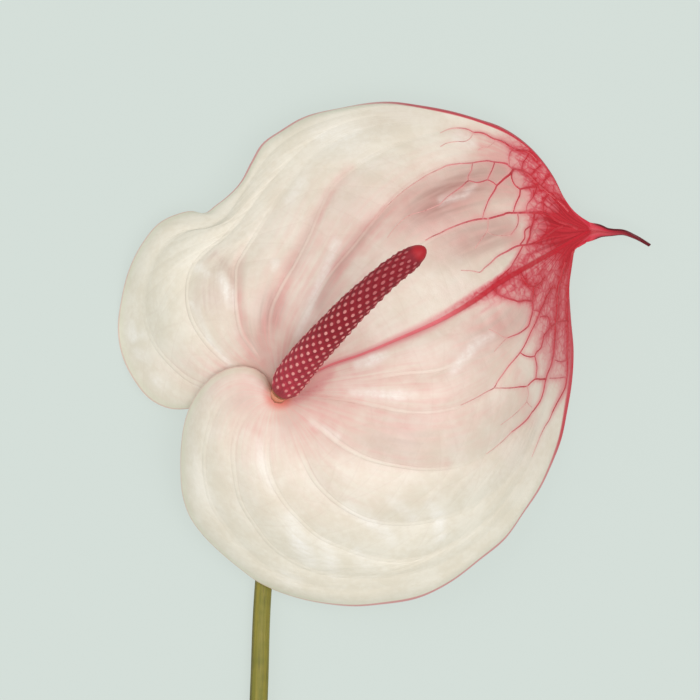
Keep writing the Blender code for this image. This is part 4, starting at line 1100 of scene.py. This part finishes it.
def spatheMaterial():
    look = spatheLook
    made, tree, shader = newMaterial("spatheSkin", look)
    at = inMillimetres(tree)
    flesh = addNode(tree, "ShaderNodeUVMap", uv_map="flesh").outputs["UV"]
    relief, tone = plantSkin(at, *look["skin"])
    mottle = noiseAt(at, 0.9, 2.0, 0.6)
    blotch = noiseAt(at, 0.28, 1.0)
    streak = noiseAt(stretch(flesh, 0.6, 8.0), 1.0, 2.0)
    loose = mark(tree, "loose")

    # Cream flesh, pinker towards the stem, with streaks that follow the veins; painted shade darkens and
    # greys it in places, partly a greyer tint of the flesh
    color = mix(smooth(tone, 0.35, 0.65), look["cream"], look["ivory"])
    patchy = smooth(blotch, 0.2, 0.8, 0.8, 1.2)
    blush = times(mark(tree, "blush"), smooth(streak, 0.3, 0.7, 0.75, 1.3), patchy, clamp=True)
    color = mix(blush, color, look["pink"])
    shade = times(mark(tree, "shade"), smooth(streak, 0.7, 0.3, 0.6, 1.3), clamp=True)
    color = mix(shade, color, look["paintedShade"])

    # The pale net of the finer veins
    web = cellsAt(stretch(flesh, 1.55, 1.05), 1.0, voronoi_dimensions="2D", feature="DISTANCE_TO_EDGE")
    color = mix(times(smooth(web, 0.05, 0.0, 0.0, look["webInk"]), loose), color, look["crease"])

    # Main veins: pale ribs with a crease on each side that painted shade darkens, and the red midrib
    gap = mark(tree, "veinGap")
    ink = mark(tree, "veinInk")
    pale = mark(tree, "pale")
    rib = times(smooth(gap, 2.8, 0.4), pale)
    crease = times(smooth(gap, 3.8, 2.6), smooth(gap, 1.4, 2.6), pale)
    color = mix(times(crease, look["creaseShadeInk"]), color, look["crease"])
    color = mix(times(rib, look["ribInk"]), color, look["rib"])

    # Red flesh: a wash that the mottling breaks up, and lines of small cells
    root = mark(tree, "tailRoot")
    small = cellsAt(at, 1 / look["netSize"], feature="DISTANCE_TO_EDGE")
    cell = times(smooth(small, 0.14, 0.0), smooth(mark(tree, "cells"), 0.2, 0.8, 0.0, look["netInk"]))
    broken = smooth(plus(mottle, streak), 0.6, 1.4, 0.6, 1.15)
    wash = times(smooth(mark(tree, "red"), 0.0, 1.0), broken, look["wash"])
    wash = larger(wash, smooth(root, 0.0, 1.0, 0.0, 0.9))
    halo = times(mark(tree, "net"), look["halo"])
    glow = times(smooth(gap, 6.0, 0.5), smooth(ink, 1.0, 0.6, 0.0, 0.3), smooth(ink, 0.0, 0.5))
    tailMark = mark(tree, "tail")
    total = larger(plus(wash, halo, cell, glow), smooth(tailMark, 0.0, 0.03, 0.0, 0.9), clamp=True)
    for start, end, tint in ((0.0, 0.3, "veil"), (0.2, 0.62, "rose"), (0.5, 0.95, "crimson")):
        color = mix(smooth(total, start, end), color, look[tint])
    # Painted shade in the folds at the root of the tail: streaks of deeper red
    deep = times(smooth(root, 0.1, 0.8), smooth(streak, 0.42, 0.6), look["foldShadeInk"])
    color = mix(deep, color, look["deep"])
    midribLine = times(smooth(gap, 1.3, 0.65), ink)
    midribRed = mix(smooth(ink, 0.75, 0.98), look["bright"], look["midribRed"])
    color = mix(times(midribLine, look["midribInk"]), color, midribRed)

    # Painted highlights that make the flesh paler on glossy places that catch the light, and the reddish ring
    # where the stem comes through
    paintedHighlight = times(mark(tree, "paintedHighlightMask"), smooth(streak, 0.3, 0.6, 0.6, 1.2), smooth(web, 0.0, 0.16, 0.8, 1.0))
    paintedHighlight = times(paintedHighlight, smooth(mottle, 0.3, 0.7, 0.7, 1.1), clamp=True)
    color = mix(paintedHighlight, color, look["paintedHighlight"])
    color = mix(smooth(mark(tree, "base"), 0.1, 1.0, 0.0, 0.85), color, look["base"])

    # The rim: a red or pink thread, and a slightly green edge inside it
    rim = mark(tree, "rimGap")
    rimInk = mark(tree, "rimInk")
    edge = times(smooth(rim, 2.4, 0.5), minus(1.0, rimInk), clamp=True)
    color = mix(times(edge, look["greenInk"]), color, look["greenEdge"])
    narrow, wider = look["thread"]
    line = smooth(compute("DIVIDE", rim, plus(times(rimInk, wider), narrow)), 1.15, 0.55)
    color = mix(times(line, smooth(rimInk, 0.0, 0.3, 0.15, 0.75)), color, look["rimPink"])
    color = mix(times(line, smooth(rimInk, 0.3, 0.8)), color, look["rimRed"])

    # The tail darkens along its edges and towards its end
    dark = times(smooth(rim, 0.9, 0.1), smooth(tailMark, 0.0, 0.15))
    color = mix(larger(dark, smooth(tailMark, 0.0, 0.8, 0.0, 0.85)), color, look["maroon"])

    soft = plus(smooth(web, 0.0, 0.28, 0.0, look["webHigh"]), times(streak, look["streakHigh"]))
    height = weighed(
        (rib, look["ribHigh"]), (crease, look["creaseHigh"]), (midribLine, look["midribHigh"]),
        (soft, loose), (mottle, look["mottleHigh"]), (relief, look["skinHigh"]),
    )
    plugIn(shader, {
        "Base Color": color,
        "Normal": bump(height),
        "Roughness": roughness(tone, look),
        "Specular IOR Level": smooth(total, 0.2, 1.0, look["Specular IOR Level"], look["redSpecular"]),
    })
    return made


def veinMaterial():
    look = spatheLook
    made, tree, shader = newMaterial("veinSkin", veinLook)
    relief, tone = plantSkin(inMillimetres(tree), *veinLook["skin"])
    ink = mark(tree, "ink")
    color = look["pink"]
    for start, end, tint in ((0.05, 0.45, "veil"), (0.25, 0.65, "rose"), (0.5, 0.95, "crimson")):
        color = mix(smooth(ink, start, end), color, look[tint])
    color = mix(smooth(tone, 0.45, 0.75, 0.0, 0.5), color, look["deep"])
    plugIn(shader, {
        "Base Color": color,
        "Normal": bump(times(relief, veinLook["skinHigh"])),
        "Roughness": roughness(tone, veinLook),
    })
    return made


spadix = {
    "axis": [
        (-0.3, 0.0, 32.9), (6.6, 9.2, 41.6), (13.8, 17.0, 49.2), (18.6, 22.1, 54.0),
        (23.4, 26.7, 58.2), (28.5, 31.3, 62.4), (34.0, 35.4, 66.2), (38.0, 38.2, 68.4),
    ],
    "profile": [
        (0.0, 2.6), (0.8, 3.3), (3.0, 3.95), (7.0, 4.25), (16.0, 4.25), (28.0, 4.0), (36.0, 3.8),
        (45.0, 3.5), (53.5, 3.2), (59.0, 2.95), (62.0, 2.65), (64.0, 2.05), (65.1, 1.3), (65.6, 0.5),
    ],
    "floretArea": 4.0,
    "shrinkOver": 12.0,  # florets grow smaller over this distance from the tip
    "floretRise": 0.23,
    "stigmaRise": 0.24,
    "stigma": 0.6,  # radius, on a floret from -1 to 1
    "from": 1.2,
    "to": 63.2,
    "turn": math.radians(137.508),
    "short": 8,  # neighbouring florets are 8 and 13 places apart along the spiral
    "long": 13,
    "smooth": (60.0, 63.0),  # florets shrink into the smooth tip between these
    "base": [(0.5, 2.9), (0.0, 2.45)],
    "tip": [(63.5, 2.26), (64.0, 2.04), (64.5, 1.74), (65.0, 1.36), (65.4, 0.9), (65.6, 0.4)],
    "lines": (-1.0, -0.74, -0.36, 0.0, 0.36, 0.74, 1.0),  # across one floret, from side to side
    "ringCorner": 0.78,  # draws in the corners of the ring round the stigma, so that it is round
    "seed": 7,
    "riseLuck": (0.85, 1.15),
    "aimOver": 0.2,
}


# Places round the spadix, from the distance along its axis, the angle and the radius
def spadixPlace():
    axis = smoothPath(spadix["axis"], stations)
    at = distances(axis)
    ways = np.gradient(axis, axis=0)
    ways /= np.linalg.norm(ways, axis=1)[:, None]
    sides = np.cross(ways, (0.0, 0.0, 1.0))
    sides /= np.linalg.norm(sides, axis=1)[:, None]
    ups = np.cross(sides, ways)

    def place(distance, angle, radius):
        def read(table):
            return np.stack([np.interp(distance, at, column) for column in table.T], axis=-1)

        beyond = np.maximum(distance - at[-1], 0.0)[..., None]
        out = read(sides) * np.cos(angle)[..., None] + read(ups) * np.sin(angle)[..., None]
        return read(axis) + read(ways) * beyond + out * radius[..., None]

    return place


def spadixRadius(distance):
    profile = smoothPath(spadix["profile"], stations)
    return np.interp(distance, profile[:, 0], profile[:, 1])


# One floret: a cushion of four tepals with a round stigma in its middle, on a square from -1 to 1
def floretShape(a, b):
    away = np.hypot(a, b) / spadix["stigma"]
    cushion = (1 - np.abs(a) ** 3) * (1 - np.abs(b) ** 3)
    high = spadix["floretRise"] * cushion
    return high + np.where(away < 1, spadix["stigmaRise"] * (1 - away), 0.0)


def modelFloret():
    lines = np.array(spadix["lines"])
    b, a = np.meshgrid(lines, lines, indexing="ij")
    corner = (np.abs(a) == lines[4]) & (np.abs(b) == lines[4])
    drawnIn = np.where(corner, spadix["ringCorner"], 1.0)
    a, b = a * drawnIn, b * drawnIn
    square = np.stack([a, b, floretShape(a, b)], axis=2)
    floret, row, column = layGrid("floret", square)
    shape = square[row, column]
    addMap(floret.data, "floret", shape[:, :2])
    return floret, shape


def buildSpadix():
    place = spadixPlace()
    spiral = [spadix["from"]]
    while spiral[-1] < spadix["to"]:
        shrink = min(1.0, (spadix["profile"][-1][0] - spiral[-1]) / spadix["shrinkOver"]) ** 0.5
        around = math.tau * float(spadixRadius(spiral[-1]))
        spiral.append(spiral[-1] + spadix["floretArea"] * shrink / around)
    short, long = spadix["short"], spadix["long"]
    turnShort = math.remainder(short * spadix["turn"], math.tau)
    turnLong = math.remainder(long * spadix["turn"], math.tau)
    floret, shape = modelFloret()
    shareA, shareB = (shape[:, 0] + 1) / 2, (shape[:, 1] + 1) / 2
    restA, restB = 1 - shareA, 1 - shareB
    weights = np.stack([restA * restB, shareA * restB, shareA * shareB, restA * shareB])
    luck = np.random.default_rng(spadix["seed"])
    copies = []
    for k in range(len(spiral) - short - long):
        corners = [k, k + long, k + short + long, k + short]
        along = np.array([spiral[corner] for corner in corners]) @ weights
        angle = k * spadix["turn"] + shareA * turnLong + shareB * turnShort
        rise = shape[:, 2] * (1 - fade(along, *spadix["smooth"])) * luck.uniform(*spadix["riseLuck"])
        copy = floret.copy()
        copy.data = floret.data.copy()
        bpy.context.collection.objects.link(copy)
        setCoords(copy.data, toPart(place(along, angle, spadixRadius(along) + rise)))
        addAttribute(copy.data, "age", along / spadix["profile"][-1][0])
        addAttribute(copy.data, "luck", np.full(len(along), luck.uniform()))
        copies.append(copy)
    bpy.data.objects.remove(floret)
    pick(*copies)
    bpy.ops.object.join()
    piece = bpy.context.active_object
    piece.name = "spadixPiece"
    piece.data.name = "spadixPiece"
    mergeDoubles(piece)
    bm = bmesh.new()
    bm.from_mesh(piece.data)
    closeSpadix(bm, place, spadix["base"], False)
    closeSpadix(bm, place, spadix["tip"], True)
    bmesh.ops.recalc_face_normals(bm, faces=bm.faces[:])
    bm.to_mesh(piece.data)
    bm.free()
    piece.data.materials.append(spadixMaterial())
    finishPiece(piece, "spadix")


# Draws the open edge of the florets along the axis, ring after ring, and closes the last one
def closeSpadix(bm, place, rings, upper):
    age = bm.verts.layers.float["age"]
    edges = [edge for edge in bm.edges if edge.is_boundary and (edge.verts[0][age] > 0.5) == upper]
    for distance, radius in rings:
        grown = bmesh.ops.extrude_edge_only(bm, edges=edges)["geom"]
        edges = [part for part in grown if isinstance(part, bmesh.types.BMEdge)]
        nought = np.array(0.0)
        centre, ahead = (
            Vector(toPart(place(np.array(at), nought, nought)))
            for at in (distance, distance + spadix["aimOver"])
        )
        axis = (ahead - centre).normalized()
        for vert in {vert for edge in edges for vert in edge.verts}:
            out = vert.co - centre
            vert.co = centre + (out - axis * out.dot(axis)).normalized() * radius * mm
            vert[age] = distance / spadix["profile"][-1][0]
    bmesh.ops.contextual_create(bm, geom=edges)


spadixLook = {
    "crimson": rgb(142, 16, 32),
    "magenta": rgb(182, 52, 68),
    "groove": rgb(126, 22, 36),
    "tipRed": rgb(176, 28, 38),
    "stigma": rgb(226, 150, 144),
    "dryStigma": rgb(196, 100, 102),
    "speck": rgb(206, 140, 138),
    "stalk": rgb(128, 92, 44),
    "Roughness": 0.58,
    "stigmaRougher": 0.12,
    "Specular IOR Level": 0.32,
    "Coat Weight": 0.03,
    "Coat Roughness": 0.35,
    "skin": (0.22, 3.0),
    "skinHigh": 0.012,
    "grooveHigh": -0.05,
    "tipFrom": (0.945, 0.975),  # share of the length, like the end of the stalk's colour
    "stalkTo": (0.016, 0.006),
}


def spadixMaterial():
    look = spadixLook
    made, tree, shader = newMaterial("spadixSkin", look)
    relief, tone = plantSkin(inMillimetres(tree), *look["skin"])
    uv = addNode(tree, "ShaderNodeUVMap", uv_map="floret").outputs["UV"]
    split = addNode(tree, "ShaderNodeSeparateXYZ", {0: uv}).outputs
    a = compute("ABSOLUTE", split["X"])
    b = compute("ABSOLUTE", split["Y"])
    away = addNode(tree, "ShaderNodeVectorMath", {0: uv}, operation="LENGTH").outputs["Value"]
    age = mark(tree, "age")  # 0 at the stalk, 1 at the tip
    seam = times(smooth(compute("ABSOLUTE", minus(a, b)), 0.16, 0.02), smooth(away, 0.35, 0.5))
    border = smooth(larger(a, b), 0.72, 0.98)
    tipMark = smooth(age, *look["tipFrom"])
    belowTip = minus(1.0, tipMark)
    dots = times(smooth(away, 0.58, 0.36), belowTip)
    color = mix(smooth(age, 0.5, 0.05), look["crimson"], look["magenta"])
    # Darker in random patches of tone, and painted shade in the grooves between the florets and along the
    # seams of their tepals
    for share in (smooth(tone, 0.4, 0.7, 0.0, 0.35), times(border, 0.3), times(seam, 0.2)):
        color = mix(share, color, look["groove"])
    color = mix(tipMark, color, look["tipRed"])
    ring = times(smooth(away, 0.62, 0.5), smooth(age, 0.3, 0.75, 0.0, 0.3))
    color = mix(ring, color, look["speck"])
    stigma = mix(smooth(age, 0.35, 0.85), look["stigma"], look["dryStigma"])
    fresh = times(dots, smooth(mark(tree, "luck"), 0.0, 1.0, 0.7, 1.0), smooth(age, 1.0, 0.5, 0.55, 1.0))
    color = mix(fresh, color, stigma)
    color = mix(smooth(age, *look["stalkTo"]), color, look["stalk"])
    groove = times(larger(seam, border), look["grooveHigh"], belowTip)
    plugIn(shader, {
        "Base Color": color,
        "Normal": bump(plus(groove, times(relief, look["skinHigh"]))),
        "Roughness": plus(times(dots, look["stigmaRougher"]), look["Roughness"]),
    })
    return made


stem = {
    "path": [
        (-16, -300, 3, 3), (-14.2, -262, 2.95, 2.95), (-12, -215, 2.85, 2.85), (-9.6, -165, 2.75, 2.75),
        (-7.6, -115, 2.65, 2.6), (-6.2, -78, 2.58, 2.5), (-5.5, -58, 2.68, 2.4), (-4.4, -43, 4.3, 2.35),
        (-3.4, -31, 7.9, 2.3), (-2.6, -20.5, 12.8, 2.25), (-2.0, -12, 17.9, 2.2), (-1.4, -5.6, 22.9, 2.2),
        (-0.9, -0.9, 28.2, 2.2), (-0.85, -0.75, 30.5, 2.2), (-0.6, -0.4, 32.5, 2.3),
    ],
    "sides": 72,
    "firstTurn": math.pi / 14,
    "slopeOver": 2,
    "rings": 110,
    "neckSpread": 1.6,  # draws the rings together towards the neck
    "neckLean": 60,  # the higher, the later the rings lean towards the spadix
    "cutSlant": 0.55,
    "cutRings": [(0.0, -0.25), (0.3, -0.3), (0.55, -0.22), (0.78, -0.12), (0.9, 0.0), (0.97, 0.02)],
    "ribs": 13,
    "ribHigh": 0.012,  # share of the radius
    "wobble": 0.014,
    "wobbleAround": 1.3,
    "wobbleAlong": 0.03,
    "wobbleLess": 0.6,
    "fibresAround": 3,
}


def buildStem():
    fine = smoothPath(stem["path"], stations + 1)
    spadixWay = (Vector(spadix["axis"][1]) - Vector(spadix["axis"][0])).normalized()
    turn = np.linspace(0.0, math.tau, stem["sides"] + 1) + stem["firstTurn"]
    side = Vector((1, 0, 0))
    rows, marks = [], []
    at = distances(fine)
    wobbleAround, slopeOver = stem["wobbleAround"], stem["slopeOver"]
    for n in range(stem["rings"]):
        spot = round(stations * (1 - (1 - n / (stem["rings"] - 1)) ** stem["neckSpread"]))
        x, y, z, radius = fine[spot]
        ahead, behind = fine[min(spot + slopeOver, stations)], fine[max(spot - slopeOver, 0)]
        along = Vector((ahead - behind)[:3]).normalized()
        along = along.lerp(spadixWay, (spot / stations) ** stem["neckLean"]).normalized()
        side = (side - along * side.dot(along)).normalized()
        up = side.cross(along)
        rib = stem["ribHigh"] * np.cos(stem["ribs"] * turn) - stem["ribHigh"]
        high = at[spot] * stem["wobbleAlong"]
        spots = [Vector((math.cos(t) * wobbleAround, math.sin(t) * wobbleAround, high)) for t in turn]
        wobble = np.array([noise.noise(s) for s in spots]) - stem["wobbleLess"]
        radii = radius * (1 + rib + stem["wobble"] * wobble)
        rings = [(1.0, 0.0)]
        if n == 0:
            rings = stem["cutRings"] + rings
        if n == stem["rings"] - 1:
            rings = rings + [(0.0, 0.0)]
        for share, dip in rings:
            upward = np.array(up + along * (stem["cutSlant"] if n == 0 else 0.0))
            out = np.outer(np.cos(turn), np.array(side)) + np.outer(np.sin(turn), upward)
            rows.append(np.array((x, y, z)) + out * (radii * share)[:, None] - np.array(along) * dip)
            ring = stem["fibresAround"] * np.stack([np.cos(turn), np.sin(turn)])
            around = np.stack([*ring, np.full(len(turn), at[spot])], axis=1)
            marks.append((around, share if n == 0 else 1.0, n == 0 and share < 1.0))
    piece, row, column = layGrid("stemPiece", np.array(rows))
    around = np.array([mark[0] for mark in marks])[row, column]
    layer = piece.data.attributes.new("around", "FLOAT_VECTOR", "POINT")
    layer.data.foreach_set("vector", around.astype(np.float32).ravel())
    addAttribute(piece.data, "fromPith", np.array([mark[1] for mark in marks])[row])
    addAttribute(piece.data, "cut", np.array([float(mark[2]) for mark in marks])[row])
    keepAboveTable(piece.data)
    mergeDoubles(piece)
    piece.data.materials.append(stemMaterial())
    finishPiece(piece, "stem")


stemLook = {
    "olive": rgb(134, 124, 36),
    "green": rgb(114, 112, 30),
    "ochre": rgb(152, 136, 48),
    # dark fibres, and painted shade down the stem's left side
    "edge": rgb(78, 68, 26),
    "neck": rgb(240, 158, 124),
    "pith": rgb(206, 206, 158),
    "cortex": rgb(150, 158, 88),
    "dried": rgb(122, 96, 58),
    "Roughness": 0.56,
    "roughSpread": (0.05, 0.08),
    "Specular IOR Level": 0.5,
    "Coat Weight": 0.02,
    "Coat Roughness": 0.4,
    "skin": (0.3, 14.0),
    "skinHigh": 0.01,
    "fibreHigh": 0.05,
    "fibreShape": 0.045,  # width of a fibre as a share of its length
    "driedTo": 5.0,  # along the stem from its cut end
    "neckFrom": (285.0, 308.0),
}


def stemMaterial():
    look = stemLook
    made, tree, shader = newMaterial("stemSkin", look)
    at = inMillimetres(tree)
    relief, tone = plantSkin(at, *look["skin"])
    around = addNode(tree, "ShaderNodeAttribute", attribute_name="around").outputs["Vector"]
    split = addNode(tree, "ShaderNodeSeparateXYZ", {0: around}).outputs
    length = split["Z"]
    lengthwise = stretch(around, 1.0, 1.0, look["fibreShape"])
    fibre = noiseAt(lengthwise, 2.4, 3.0, 0.6)
    streak = noiseAt(lengthwise, 0.75, 2.0)
    color = mix(smooth(tone, 0.35, 0.65), look["olive"], look["green"])
    color = mix(smooth(streak, 0.42, 0.7, 0.0, 0.7), color, look["ochre"])
    color = mix(smooth(fibre, 0.5, 0.72, 0.0, 0.5), color, look["edge"])
    # Painted shade: the stem's left side is darker, as if lit from the right
    color = mix(smooth(split["X"], -1.9, -2.9, 0.0, 0.5), color, look["edge"])
    color = mix(smooth(length, *look["neckFrom"], 0.0, 0.95), color, look["neck"])
    # The cut end: dried rim, green cortex, pale pith with the dots of the bundles
    share = mark(tree, "fromPith")
    inside = mix(smooth(share, 0.62, 0.86), look["pith"], look["cortex"])
    inside = mix(smooth(cellsAt(at, 2.2), 0.26, 0.12, 0.0, 0.6), inside, look["dried"])
    inside = mix(smooth(share, 0.88, 0.96, 0.0, 0.7), inside, look["dried"])
    color = mix(mark(tree, "cut"), color, inside)
    color = mix(smooth(length, look["driedTo"], 0.0, 0.0, 0.45), color, look["dried"])
    plugIn(shader, {
        "Base Color": color,
        "Normal": bump(weighed((fibre, look["fibreHigh"]), (relief, look["skinHigh"]))),
        "Roughness": roughness(tone, look),
    })
    return made


stage = {
    "floorSize": 6.0,  # in metres, like its depth and the places and sizes of the lamps
    "floorDeep": 0.0004,
    "floor": rgb(212, 222, 216),
    "floorLit": rgb(90, 94, 92),
    "floorGlow": 0.836,
    "floorLook": {
        "Roughness": 0.9,
        "Specular IOR Level": 0.0,
        "Coat Weight": 0.0,
        "Coat Roughness": 0.5,
    },
    "skyColor": rgb(232, 236, 236),
    "skyStrength": 0.55,
    "keyAt": (0.55, -0.3, 2.1),  # from the middle of the view
    "keySize": 1.6,
    "keyPower": 29.0,
    "fillAt": (-1.3, 0.5, 1.6),
    "fillSize": 1.6,
    "fillPower": 12.0,
    "cameraHigh": 4.0,
    "cameraReach": 50.0,
    "viewCentre": (18.36, 11.34),  # in millimetres from the flower
    "viewWide": 189.0,  # that the photo takes in, level with the spathe
    "viewLevel": 18.0,
    "sensor": 36.0,
}


def addFloor():
    bpy.ops.object.select_all(action="DESELECT")
    bpy.ops.mesh.primitive_plane_add(size=stage["floorSize"], location=(0.0, 0.0, -stage["floorDeep"]))
    floor = bpy.context.active_object
    floor.name = "floor"
    made, _, shader = newMaterial("paleTable", stage["floorLook"])
    shader.inputs["Base Color"].default_value = stage["floorLit"]
    shader.inputs["Emission Color"].default_value = stage["floor"]
    shader.inputs["Emission Strength"].default_value = stage["floorGlow"]
    floor.data.materials.append(made)


def addLight():
    world = bpy.data.worlds.new("softLight")
    world.use_nodes = True
    background = world.node_tree.nodes["Background"]
    background.inputs["Color"].default_value = stage["skyColor"]
    background.inputs["Strength"].default_value = stage["skyStrength"]
    bpy.context.scene.world = world
    centre = Vector(toPart((*stage["viewCentre"], stage["viewLevel"])))
    for name in ("key", "fill"):
        spot = Vector(stage[name + "At"])
        bpy.ops.object.light_add(type="AREA", location=centre + spot)
        lamp = bpy.context.active_object
        lamp.name = name
        lamp.data.size = stage[name + "Size"]
        lamp.data.energy = stage[name + "Power"]
        lamp.rotation_euler = (-spot).to_track_quat("-Z", "Y").to_euler()
        lamp.visible_camera = False


def addCamera():
    away = stage["cameraHigh"] - stage["viewLevel"] * mm
    x, y, _ = toPart((*stage["viewCentre"], 0.0))
    bpy.ops.object.camera_add(location=(x, y, stage["cameraHigh"]), rotation=(0.0, 0.0, 0.0))
    camera = bpy.context.active_object
    camera.name = "camera"
    camera.data.sensor_width = stage["sensor"]
    camera.data.lens = stage["sensor"] * away / (stage["viewWide"] * mm)
    camera.data.clip_end = stage["cameraReach"]
    bpy.context.scene.camera = camera


buildSpathe()
buildDrawnVeins()
print("spathe done")
buildSpadix()
print("spadix done")
buildStem()
print("stem done")
addFloor()
addLight()
addCamera()
bpy.context.scene.view_settings.view_transform = "Standard"
print("stage and camera done")
